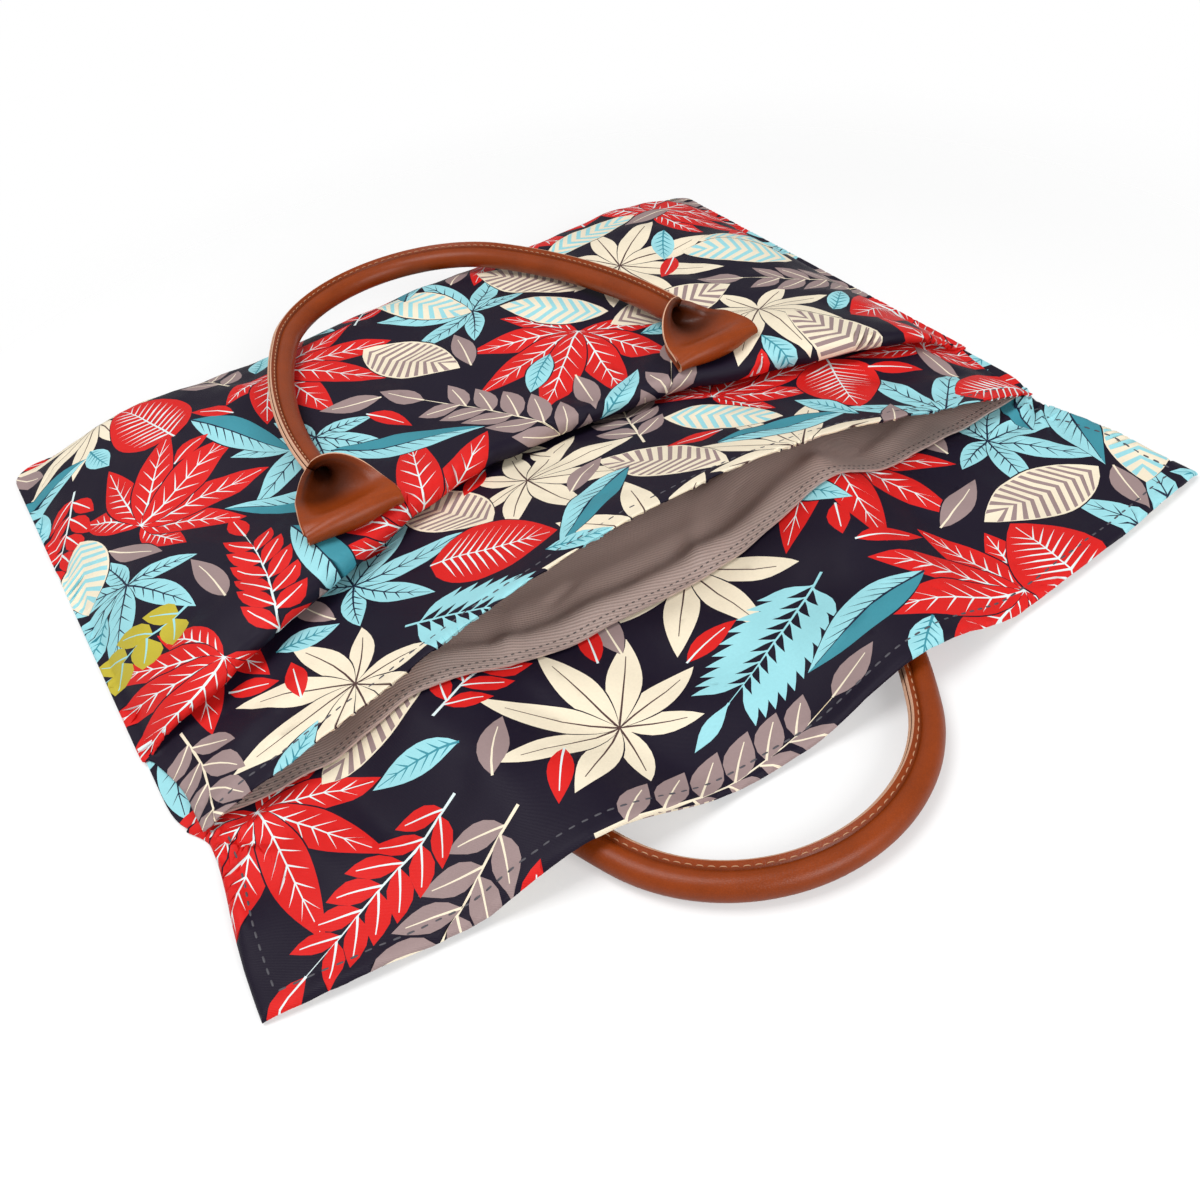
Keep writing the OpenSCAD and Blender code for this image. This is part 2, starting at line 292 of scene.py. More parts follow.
@dataclass(frozen=True)
class FrontForm:
    """Shape of the front of the bag, from the mouth edge over the fold to the bottom seam, in millimetres.

    A point of the cloth has the pattern place (s, t): s runs across, t is the length from the mouth edge.
    """

    # Outline, seams and hem
    half_w: float = 200.0
    bottom_y: float = 188.0
    mouth_y: float = 97.0
    corner_r: float = 15.0
    seam_w: float = 4.0
    seam_z: float = 2.4
    edge_r: float = 0.6
    stitch_in: float = 7.0
    hem_w: float = 11.0
    groove: float = 0.4
    groove_w: float = 1.3
    # Puffed body, with a low ridge behind the fold
    crown_z: float = 27.0
    ridge_rise: float = 3.0
    ridge_in: float = 8.0
    ridge_w: float = 40.0
    side_round: float = 8.0
    end_round: float = 10.0
    end_start: float = 50.0
    # Fold, whose valley and nose take these shares of its length and of its height
    valley_z: float = 14.5
    lip_y: float = 2.0
    lip_sweep: float = 50.0
    fold_l: float = 14.0
    tuck: float = 13.0
    overhang: float = 12.0
    full_height: float = 8.0
    fold_power: int = 6
    valley_l: float = 0.3
    lean_l: float = 0.25
    nose_start: float = 0.55
    nose_l: float = 0.45
    valley_r: float = 0.2
    nose_r: float = 0.3
    settle_l: float = 60.0
    # Mouth, which gapes beside its middle
    rim_low: float = 10.0
    rim_rise: float = 35.0
    rim_power: float = 1.3
    gape_x: float = 12.0
    corner_z: float = 5.0
    corner_power: int = 22
    mouth_draw: float = 9.0
    draw_start: float = 30.0
    draw_l: float = 50.0
    # Softness: depth is how far a layer lies under the outer cloth
    depth: float = 0.0
    soft: float = 1.0
    handle: HandlePlan = HandlePlan()
    handle_y: float = 22.0
    handle_calm: float = 24.0
    side_calm: float = 26.0
    end_calm: float = 30.0
    mouth_soft: float = 0.35
    gather_in: float = 6.0
    gathers: Gathers = Gathers(7.0, 1.0, 13.0, 0.3, 0.0, 17.0, 9.0)
    hem_ripples: Ripples = Ripples(11, 13.0, 0.18)
    ripples: tuple[Ripples, ...] = (Ripples(3, 90.0, 1.8), Ripples(5, 36.0, 0.75), Ripples(9, 17.0, 0.16))
    creases: tuple[Crease, ...] = (
        Crease((-196, -20), (-120, -6), 9, -2.2, 5),
        Crease((-150, 20), (-60, 44), 16, -1.6, 8),
        Crease((-196, 40), (-140, 70), 11, -1.8, 4),
        Crease((-196, 96), (-150, 112), 9, -1.5, -3),
        Crease((-40, 30), (60, 96), 22, 1.6, 10),
        Crease((20, 4), (60, 40), 7, -1.9, 3),
        Crease((38, 2), (72, 30), 6, -1.5, 2),
        Crease((52, -2), (84, 18), 5, 1.2, 2),
        Crease((120, 4), (192, 30), 12, -2.0, 5),
        Crease((110, 70), (190, 120), 18, -2.0, 8),
        Crease((-120, 120), (-20, 170), 20, -1.8, 6),
        Crease((30, 172), (110, 130), 18, -1.6, -6),
        Crease((-190, -70), (-130, -30), 7, -1.8, 4),
        Crease((-194, -86), (-120, -58), 6, 1.6, 3),
        Crease((-100, -80), (-84, -22), 9, -1.2, 3),
        Crease((96, -78), (90, -24), 9, -1.2, -3),
        Crease((120, -40), (188, -74), 7, -2.0, -4),
        Crease((126, -62), (192, -88), 6, 1.6, -3),
        Crease((-30, -60), (40, -34), 14, -1.4, 4),
    )
    # Table of plan distance over pattern length: columns, steps of a column and shares of its length
    table_size: tuple[int, int, int] = (81, 700, 301)
    table: dict = field(default_factory=dict, compare=False)

    def half_at(self, y: Array) -> Array:
        """Half width of the front, which is drawn in towards the mouth."""
        return self.half_w - self.mouth_draw * ease((self.lip_y - self.draw_start - y) / self.draw_l)

    def lip(self, x: Array) -> Array:
        """Place of the fold's lip, which sweeps towards the mouth at the sides."""
        side = np.clip(np.abs(x) / self.half_w, 0, 1)
        return self.lip_y - self.lip_sweep * np.sin(np.pi / 2 * side) ** 2

    def shoulder(self, x: Array, y: Array) -> Array:
        """Fall of the puffed front towards its side seams, from 1 to 0."""
        side = np.clip(np.abs(x) / (self.half_at(y) - self.seam_w), 0, 1)
        return 1.0 - side**self.side_round

    def rim(self, x: Array) -> Array:
        """Height of the mouth edge.

        Args:
            x: Places across the bag.

        Returns:
            Height at each place, low at both corners.
        """
        left = (self.gape_x - x) / (self.half_w + self.gape_x)
        right = (x - self.gape_x) / (self.half_w - self.gape_x)
        t = np.clip(np.where(x < self.gape_x, left, right), 0, 1)
        rise = self.rim_low + self.rim_rise * (1.0 + np.cos(np.pi * t**self.rim_power)) / 2.0
        side = np.clip(np.abs(x) / (self.half_w - self.mouth_draw), 0, 1)
        return mix(rise, self.corner_z, side**self.corner_power)

    def body(self, x: Array, y: Array) -> Array:
        """Height of the puffed body behind the fold.

        Args:
            x: Places across the bag.
            y: Places along the bag.

        Returns:
            Height at each place.
        """
        rise = self.crown_z + self.ridge_rise * bell((y - self.lip_y - self.ridge_in) / self.ridge_w)
        end = np.clip((y - self.end_start) / (self.bottom_y - self.seam_w - self.end_start), 0, 1)
        return self.seam_z + (rise - self.seam_z) * self.shoulder(x, y) * (1.0 - end**self.end_round)

    def band(self, x: Array, y: Array, valley: Array) -> Array:
        """Height of the band between the mouth edge and the place of the fold's valley."""
        low = self.seam_z + (self.valley_z - self.seam_z) * self.shoulder(x, y)
        return mix(low, self.rim(x), np.clip((valley - y) / (valley + self.mouth_y), 0, 1))

    def bare(self, s: Array, y: Array) -> Array:
        """Unwrinkled surface over a place across and a running distance, with the lip rolled over the valley.

        Args:
            s: Places across the cloth.
            y: Running distances, which are plan distances except near the fold.

        Returns:
            Points in space, one a row.
        """
        x = s / self.half_w * self.half_at(y)
        across = 1.0 - np.clip(np.abs(s) / self.half_w, 0, 1) ** self.fold_power
        start = self.lip(x) + self.tuck * across
        end = start + self.fold_l
        low = self.band(x, start, start)
        height = np.clip(self.body(x, end) - low, 0.0, None)
        reach = self.overhang * across * np.minimum(1.0, height / self.full_height)
        f = (y - start) / self.fold_l
        valley = np.pi * np.clip(f / self.valley_l, 0, 1)
        nose = np.pi * np.clip((f - self.nose_start) / self.nose_l, 0, 1)
        lean = np.clip((f - self.valley_l) / self.lean_l, 0, 1)
        small, large = self.valley_r * height, self.nose_r * height
        along = start + small * np.sin(valley) - reach * lean - large * np.sin(nose)
        rise = low + small * (1.0 - np.cos(valley)) + large * (1.0 - np.cos(nose))
        behind = y - (self.fold_l + reach) * (1.0 - ease((y - end) / self.settle_l))
        plan = np.where(f <= 0, y, np.where(f >= 1, behind, along))
        z = np.where(f <= 0, self.band(x, y, start), np.where(f >= 1, self.body(x, y), rise))
        return np.stack([x, plan, z], axis=-1)

    def rows(self) -> dict:
        """Tables of plan distance over pattern length, made once.

        Returns:
            The columns' places, the plan distance for each column and share of length, and the mean length.
        """
        if not self.table:
            column_count, step_count, share_count = self.table_size
            columns = np.linspace(-self.half_w, self.half_w, column_count)
            steps = np.linspace(-self.mouth_y, self.bottom_y, step_count)
            shares = np.linspace(0, 1, share_count)
            runs = [run_along(self.bare(np.full_like(steps, s), steps)) for s in columns]
            places = np.array([np.interp(shares, run / run[-1], steps) for run in runs])
            length = float(np.mean([run[-1] for run in runs]))
            self.table.update(columns=columns, places=places, length=length)
        return self.table

    @property
    def length(self) -> float:
        """Length of the cloth from the mouth edge to the bottom seam."""
        return self.rows()["length"]

    def plan_y(self, s: Array, t: Array) -> Array:
        """Plan distance of pattern places, read between the table's columns and rows.

        Args:
            s: Places across the cloth.
            t: Lengths from the mouth edge.

        Returns:
            Plan distance of each place.
        """
        places = self.rows()["places"]
        i = np.clip((s + self.half_w) / (2 * self.half_w), 0, 1) * (places.shape[0] - 1)
        j = np.clip(t / self.length, 0, 1) * (places.shape[1] - 1)
        i0 = np.clip(i.astype(int), 0, places.shape[0] - 2)
        j0 = np.clip(j.astype(int), 0, places.shape[1] - 2)
        near = mix(places[i0, j0], places[i0, j0 + 1], j - j0)
        far = mix(places[i0 + 1, j0], places[i0 + 1, j0 + 1], j - j0)
        return mix(near, far, i - i0)

    def fold_points(self) -> Array:
        """Places that resolve the fold, in close rows along its valley and lip.

        Returns:
            Pattern places, one a row.
        """
        before, after, half_step, slip = 5.0, 8.0, 2.5, 0.4
        table, found = self.rows(), []
        lengths = np.linspace(0, self.length, self.table_size[2])
        for s, plan in list(zip(table["columns"], table["places"]))[1:-1]:
            start = float(self.lip(np.array([s]))[0]) + self.tuck
            end = start + self.fold_l
            y = np.concatenate([np.linspace(start - before, start, 4), np.linspace(start, end, 21)[1:],
                                np.linspace(start, start + after, 5)[1:] + self.fold_l])
            t = np.interp(y, plan, lengths)
            found += [rows_of(s, t), rows_of(s + half_step, t + slip * half_step)]
        return np.concatenate(found)

    def wrinkles(self, x: Array, y: Array) -> Array:
        """Height of the cloth's creases and unevenness, kept low under the handle and at the seams.

        Args:
            x: Places across the bag.
            y: Places along the bag.

        Returns:
            Height at each place.
        """
        total = relief((*self.creases, *self.ripples), x, y)
        under = bump(np.clip(self.handle.gap(x, y - self.handle_y) / self.handle_calm, 0, 1))
        total = np.where(total > 0, total * (1.0 - under), total * (1.0 - under / 2))
        side = ease((self.half_at(y) - np.abs(x)) / self.side_calm)
        total = self.soft * total * side * ease((self.bottom_y - y) / self.end_calm)
        return total * mix(self.mouth_soft, 1.0, ease((y + self.mouth_y) / self.end_calm))

    def place(self, pattern: Array) -> Array:
        """Points of the cloth at pattern places.

        Args:
            pattern: Places (s, t), one a row.

        Returns:
            Points in space, one a row.
        """
        s, t = pattern[:, 0], pattern[:, 1]
        points = self.bare(s, self.plan_y(s, t))
        x, y = points[:, 0].copy(), points[:, 1].copy()
        gathers = self.gathers.at(x, self.half_at(y), y + self.mouth_y - self.gather_in)
        hem = self.hem_ripples.at(s, t) * bell(t / self.hem_w)
        groove = self.groove * bell((t - self.stitch_in) / self.groove_w)
        rim = np.minimum(np.minimum(t, self.length - t), self.half_w - np.abs(s))
        lift = self.wrinkles(x, y) + self.soft * gathers + self.soft * (hem - groove)
        points[:, 2] += lift - self.depth - round_edge(rim, self.edge_r)
        return points


@dataclass(frozen=True)
class BackForm:
    """Shape of the back of the bag and its flap, flat but for the lift over the back handle, in millimetres.

    A point of the cloth has its plan place (x, y) as pattern place.
    """

    # Outline and hem
    half_w: float = 200.0
    bottom_y: float = 188.0
    mouth_y: float = 97.0
    flap_l: float = 79.0
    flap_bow: float = 18.0
    corner_r: float = 15.0
    edge_r: float = 1.1
    stitch_in: float = 7.0
    hem_w: float = 11.0
    groove: float = 0.3
    groove_w: float = 1.3
    # Lift over the back handle and its sewn ends
    handle: HandlePlan = HandlePlan()
    hinge_y: float = -45.0
    turn: float = 6.0
    shift: float = 13.0
    bump_r: float = 44.0
    tube_lift: float = 13.4
    tube_in: float = 1.0
    tube_fade: float = 16.0
    tab_lift: float = 4.8
    tab_l: float = 64.0
    tab_fade: float = 30.0
    flap_fade: float = 60.0
    # Sides of the flap, which are drawn in past the ends of the side seams and curl up
    seam_past: float = 4.0
    pinch: float = 9.0
    pinch_behind: float = 13.0
    pinch_ahead: float = 46.0
    pinch_w: float = 60.0
    curl: float = 1.8
    curl_lean: float = 0.5
    curl_w: float = 9.0
    curl_out: float = 32.0
    curl_l: float = 34.0
    # Softness: height is how far a layer lies over the floor
    height: float = 0.0
    soft: float = 1.0
    face_up: bool = True
    rounded: bool = True
    loose_in: float = 30.0
    loose_l: float = 50.0
    edge_calm: float = 0.3
    calm_l: float = 48.0
    flat_soft: float = 0.15
    side_soft: float = 0.35
    wave_base: float = 1.2
    gather_h: float = 2.6
    gather_base: float = 0.35
    gathers: Gathers = Gathers(9.0, 0.8, 17.0, 0.35, 1.0, 27.0, 7.0)
    hem_ripples: Ripples = Ripples(31, 14.0, 0.3)
    ripples: tuple[Ripples, ...] = (Ripples(21, 66.0, 1.4), Ripples(23, 28.0, 0.5))
    creases: tuple[Crease, ...] = ()

    @property
    def corner_y(self) -> float:
        """Place of the flap's two corners."""
        return -self.mouth_y - self.flap_l

    def flap_edge(self, x: Array) -> Array:
        """Place of the flap's bowed free edge."""
        return self.corner_y - self.flap_bow * (1.0 - (x / self.half_w) ** 2)

    def lift(self, x: Array, y: Array) -> Array:
        """Height over the back handle and its sewn ends.

        Args:
            x: Places across the bag.
            y: Places along the bag.

        Returns:
            Height at each place.
        """
        neck = self.hinge_y - self.handle.flare_l
        plan = turned(np.stack([x + self.shift, neck - y], axis=-1), -self.turn)
        gap = self.handle.gap(plan[:, 0], plan[:, 1])
        tube = self.tube_lift * bump(gap / self.bump_r)
        tube = tube * ease((self.hinge_y - self.tube_in - y) / self.tube_fade)
        tab = self.tab_lift * bump((np.abs(x) - self.handle.leg_x) / self.bump_r)
        tab = tab * ease((self.tab_l + self.hinge_y - y) / self.tab_fade)
        tab = tab * ease((y - self.corner_y) / self.flap_fade)
        return np.maximum(tube, tab)

    def unevenness(self, x: Array, y: Array, rim: Array) -> Array:
        """Height of the cloth's waves, gathers and hem, most of it on the loose flap.

        Args:
            x: Places across the bag.
            y: Places along the bag.
            rim: Distances from the cloth's nearest edge.

        Returns:
            Height at each place.
        """
        loose = ease((-self.mouth_y + self.loose_in - y) / self.loose_l)
        calm = mix(self.edge_calm, 1.0, ease((y - self.flap_edge(x)) / self.calm_l))
        wave = relief(self.creases, x, y) + relief(self.ripples, x, y) * calm
        gathers = self.gathers.at(x, self.half_w, -self.mouth_y - self.seam_past - y)
        soft = np.clip(wave + self.wave_base, 0.0, None) * mix(self.flat_soft, 1.0, loose)
        soft = soft + self.gather_h * np.clip(gathers + self.gather_base, 0, None) * loose
        hem = np.clip(self.hem_ripples.at(x, y), 0, None) * bell(rim / self.hem_w) * loose
        groove = self.groove * bell((rim - self.stitch_in) / self.groove_w) * loose
        return soft * ease((self.half_w - np.abs(x)) / self.curl_w + self.side_soft) + hem - groove

    def curled(self, x: Array, y: Array) -> Array:
        """Height of the flap's curled sides, of which the right one stands higher.

        Args:
            x: Places across the bag.
            y: Places along the bag.

        Returns:
            Height at each place.
        """
        side = bell((self.half_w - np.abs(x)) / self.curl_w)
        along = bump((y + self.mouth_y + self.curl_out) / self.curl_l)
        return self.curl * (1.0 + self.curl_lean * np.sign(x)) * side * along

    def drawn_in(self, x: Array, y: Array) -> Array:
        """How far the sides are drawn in round the ends of the side seams.

        Args:
            x: Places across the bag.
            y: Places along the bag.

        Returns:
            Distance at each place.
        """
        past = y + self.mouth_y + self.seam_past
        drawn = self.pinch * bell(past / np.where(past > 0, self.pinch_behind, self.pinch_ahead))
        return drawn * ease((np.abs(x) - self.half_w + self.pinch_w) / self.pinch_w)

    def place(self, pattern: Array) -> Array:
        """Points of the cloth at plan places.

        Args:
            pattern: Places (x, y), one a row.

        Returns:
            Points in space, one a row.
        """
        x, y = pattern[:, 0], pattern[:, 1]
        side = self.half_w - np.abs(x)
        rim = np.minimum(np.minimum(y - self.flap_edge(x), self.bottom_y - y), side)
        z = self.lift(x, y) + self.height + self.curled(x, y) + self.soft * self.unevenness(x, y, rim)
        if self.rounded:
            z = z - (1 if self.face_up else -1) * round_edge(rim, self.edge_r)
        return np.stack([x - np.sign(x) * self.drawn_in(x, y), y, z], axis=-1)


def to_linear(value: float) -> float:
    """One sRGB value as linear light."""
    return value / 12.92 if value <= 0.04045 else ((value + 0.055) / 1.055) ** 2.4


class Ink(Enum):
    """Colours of the print, as sRGB values."""

    NAVY = (0.1, 0.073, 0.14)
    RED = (0.84, 0.125, 0.115)
    AQUA = (0.61, 0.85, 0.88)
    TEAL = (0.25, 0.56, 0.62)
    CREAM = (0.95, 0.9, 0.8)
    MAUVE = (0.61, 0.525, 0.52)
    UMBER = (0.33, 0.24, 0.23)
    OLIVE = (0.75, 0.69, 0.22)
    PALE = (0.88, 0.94, 0.94)
    INDIGO = (0.12, 0.16, 0.25)

    @property
    def linear(self) -> Triple:
        """The colour as linear light, as shaders take it."""
        return tuple(to_linear(v) for v in self.value)


class Veins(Enum):
    """How a leaf is drawn inside its outline."""

    RIB = "rib"
    HERRINGBONE = "herringbone"
    HALVES = "halves"
    STRIPES = "stripes"


@dataclass(frozen=True)
class Patch:
    """A field of one ink on the flat cloth."""

    points: Array
    ink: Ink

    def moved(self, place: Array, degrees: float) -> "Patch":
        """The patch turned about the origin and then moved."""
        return Patch(turned(self.points, degrees) + place, self.ink)


@dataclass(frozen=True)
class Leaf:
    """One leaf, drawn from its base along the X axis."""

    length: float
    width: float
    fill: Ink
    line: Ink
    veins: Veins = Veins.RIB
    widest: float = 0.8  # below 1 near the base, above 1 near the tip
    slim: float = 1.0  # above 1 the ends are drawn out
    bend: float = 0.0
    pairs: int = 6
    margin_step: float = 3.4
    outlined: float = 30.0  # length from which a leaf has a dark outline
    outline_w: float = 1.4

    def axis(self, u: Array) -> Array:
        """Points of the leaf's midrib."""
        return np.stack([self.length * u, self.length * self.bend * u * u], axis=-1)

    def half(self, u: Array) -> Array:
        """Half width of the blade along the midrib."""
        return self.width / 2 * np.sin(np.pi * np.clip(u, 0, 1) ** self.widest) ** self.slim

    def normals(self, u: Array) -> Array:
        """Directions across the midrib."""
        slope = 2 * self.bend * u
        return np.stack([-slope, np.ones_like(u)], axis=-1) / np.hypot(1, slope)[:, None]

    def side(self, u: Array, share: Array) -> Array:
        """Points off the midrib, where a share of 1 or -1 is on the margin."""
        return self.axis(u) + self.normals(u) * (self.half(u) * share)[:, None]

    def blade(self, u: Array, share: float) -> Array:
        """Outline of the blade, drawn wider or narrower by a share."""
        wide = np.full_like(u, share)
        return np.concatenate([self.side(u, -wide), self.side(u, wide)[-2:0:-1]])

    def stroke(self, start: float, end: float, share: float, thick: float = 0.5, bow: float = 0.45) -> Array:
        """A tapered line from the midrib out towards the margin.

        Args:
            start: Place of its foot along the midrib.
            end: Place of its tip along the midrib.
            share: How far towards the margin the tip lies.
            thick: Half width of the foot.
            bow: How far the line bows towards the leaf's tip.

        Returns:
            Outline of the line.
        """
        foot = self.axis(np.array([start - thick / self.length, start + thick / self.length]))
        tip = self.side(np.array([end]), np.array([share]))[0]
        middle = (foot.mean(axis=0) + tip) / 2 + (foot[1] - foot[0]) * bow
        return np.array([foot[0], foot[1], middle, tip])

    def rib(self, thick: float, reach: float = 0.94, taper: float = 0.75) -> Array:
        """A tapered line along the midrib.

        Args:
            thick: Width at its foot.
            reach: Share of the leaf's length.
            taper: Share of the width that is lost up to the leaf's tip.

        Returns:
            Outline of the line.
        """
        u = np.linspace(0, reach, 5)
        off = self.normals(u) * (thick / 2 * (1.0 - taper * u)[:, None])
        return np.concatenate([self.axis(u) + off, (self.axis(u) - off)[::-1]])

    def draw(self) -> list[Patch]:
        """Draws the leaf.

        Returns:
            Its fields of ink, from the lowest to the topmost.
        """
        u = np.linspace(0, 1, int(np.clip(self.length / self.margin_step, 5, 15)) + 1)
        patches = [Patch(self.blade(u, 1.0), self.fill)]
        if self.length > self.outlined:
            patches.insert(0, Patch(self.blade(u, 1.0 + self.outline_w / self.width), Ink.NAVY))
        if self.veins is Veins.RIB:
            return patches + [Patch(self.rib(0.9, 0.8), self.line)]
        if self.veins is Veins.STRIPES:
            return patches + self.stripes()
        if self.veins is Veins.HERRINGBONE:
            return patches + self.side_veins(SIDES, self.line)
        upper = self.side(u, np.ones_like(u))[-2:0:-1]
        half = Patch(np.concatenate([self.axis(u), upper]), self.line)
        return [*patches, half, *self.side_veins((-1,), Ink.INDIGO)]

    def side_veins(self, sides: Sequence[int], ink: Ink) -> list[Patch]:
        """Side veins and the midrib over them.

        Args:
            sides: Halves of the blade that have side veins.
            ink: Their colour.

        Returns:
            One field for each vein.
        """
        first, span, slant, reach = 0.1, 0.72, 0.13, 0.8
        feet = [first + span * k / self.pairs for k in range(self.pairs)]
        strokes = [self.stroke(foot, foot + slant, reach * side) for foot in feet for side in sides]
        return [Patch(points, ink) for points in [*strokes, self.rib(1.0)]]

    def stripes(self) -> list[Patch]:
        """Broad slanting stripes on both halves of the blade.

        Returns:
            One field for each stripe.
        """
        first, span, slant, reach = 0.06, 0.8, 0.12, 0.93
        wide, found = 0.36 / self.pairs, []
        for k in range(self.pairs):
            u = first + span * k / self.pairs
            for side in SIDES:
                foot = self.axis(np.array([u, u + wide]))
                tip = self.side(np.array([u + wide + slant, u + slant]), np.array([reach, reach]) * side)
                found.append(Patch(np.concatenate([foot, tip]), self.line))
        return found


@dataclass(frozen=True)
class Motif:
    """A group of ink fields and the discs that it covers, drawn round the origin."""

    patches: list[Patch]
    discs: Array  # rows of x, y and radius


LEAST_DISC = 4.0


def single_leaf(leaf: Leaf) -> Motif:
    """A leaf by itself, centred on the origin.

    Args:
        leaf: The leaf.

    Returns:
        The motif.
    """
    middle = leaf.axis(np.array([0.5]))[0]
    along = np.linspace(0.15, 0.85, 4)
    discs = np.column_stack([leaf.axis(along) - middle, np.maximum(leaf.half(along), LEAST_DISC)])
    return Motif([patch.moved(-middle, 0.0) for patch in leaf.draw()], discs)


def fan_leaf(leaf: Leaf, blades: int, spread: float) -> Motif:
    """Blades that fan out from one point, the longest in the middle.

    Args:
        leaf: The middle blade.
        blades: Number of blades.
        spread: Angle from the middle to the outermost blade, in degrees.

    Returns:
        The motif, with its point behind the origin.
    """
    setback, shrink, fall, widen, sweep = 0.35, 0.42, 1.6, 0.6, 0.12
    patches, discs = [], []
    foot = np.array([-setback * leaf.length, 0.0])
    for k in sorted(range(blades), key=lambda k: -abs(k - (blades - 1) / 2)):
        share = 2 * k / (blades - 1) - 1
        size = 1.0 - shrink * abs(share) ** fall
        blade = replace(leaf, length=leaf.length * size, width=leaf.width * size**widen, bend=-sweep * share)
        patches += [patch.moved(foot, spread * share) for patch in blade.draw()]
        middle = turned(blade.axis(np.array([0.3, 0.7])), spread * share) + foot
        discs += [[*m, max(blade.width / 2, LEAST_DISC)] for m in middle]
    return Motif(patches, np.array(discs))


def sprig(length: float, pairs: int, leaf: Leaf, bend: float, angle: float) -> Motif:
    """A bent stem with pairs of leaves and one at its tip.

    Args:
        length: Length of the stem.
        pairs: Number of leaf pairs.
        leaf: The largest leaf.
        bend: Bend of the stem as a share of its length.
        angle: Angle between the stem and its lowest leaves, in degrees.

    Returns:
        The motif, centred on the origin.
    """
    first, span, stagger, close, curve, cover = 0.08, 0.84, 0.22, 14, 0.1, 0.72
    least, swell, swell_start, swell_l = 0.62, 0.38, 0.2, 0.75
    stem = Leaf(length, 1.0, leaf.line, leaf.line, bend=bend)
    middle = stem.axis(np.array([0.5]))[0]
    patches, discs = [Patch(stem.rib(1.2, 1.0) - middle, leaf.line)], []
    for k in range(pairs):
        for side in SIDES:
            u = first + span * (k + stagger * (side > 0)) / pairs
            size = least + swell * math.sin(math.pi * (swell_start + swell_l * u))
            heading = math.degrees(math.atan(2 * bend * u)) + side * (angle - close * u)
            blade = replace(leaf, length=leaf.length * size, width=leaf.width * size, bend=-curve * side)
            foot = stem.axis(np.array([u]))[0] - middle
            patches += [patch.moved(foot, heading) for patch in blade.draw()]
        discs.append([*(stem.axis(np.array([(k + 0.5) / pairs]))[0] - middle), leaf.length * cover])
    tip = stem.axis(np.array([1.0]))[0] - middle
    heading = math.degrees(math.atan(2 * bend))
    patches += [patch.moved(tip, heading) for patch in leaf.draw()]
    discs.append([*(tip + turned(np.array([[leaf.length / 2, 0.0]]), heading)[0]), leaf.length / 2])
    return Motif(patches, np.array(discs))


class Layout(Enum):
    """How the leaves of a motif stand."""

    FAN = "fan"
    SPRIG = "sprig"
    SINGLE = "single"


@dataclass(frozen=True)
class MotifKind:
    """A kind of motif, of which no two are quite alike."""

    count: int  # on each 1000 square centimetres of cloth
    layout: Layout
    low: float  # shortest leaf, or stem of a sprig
    high: float
    leaf: Leaf  # its own length counts only on a sprig
    number: int = 1  # of blades or of leaf pairs
    angle: float = 0.0  # spread of a fan, or angle of a sprig's leaves, in degrees
    sway: float = 0.0  # largest bend that is drawn, or 0 for the leaf's own

    def make(self, draw: random.Random) -> Motif:
        """Draws one motif of the kind.

        Args:
            draw: Source of the differences between two motifs.

        Returns:
            The motif.
        """
        length = draw.uniform(self.low, self.high)
        bend = draw.uniform(-self.sway, self.sway) if self.sway else self.leaf.bend
        if self.layout is Layout.SPRIG:
            return sprig(length, self.number, self.leaf, bend, self.angle)
        leaf = replace(self.leaf, length=length, bend=bend)
        return fan_leaf(leaf, self.number, self.angle) if self.layout is Layout.FAN else single_leaf(leaf)


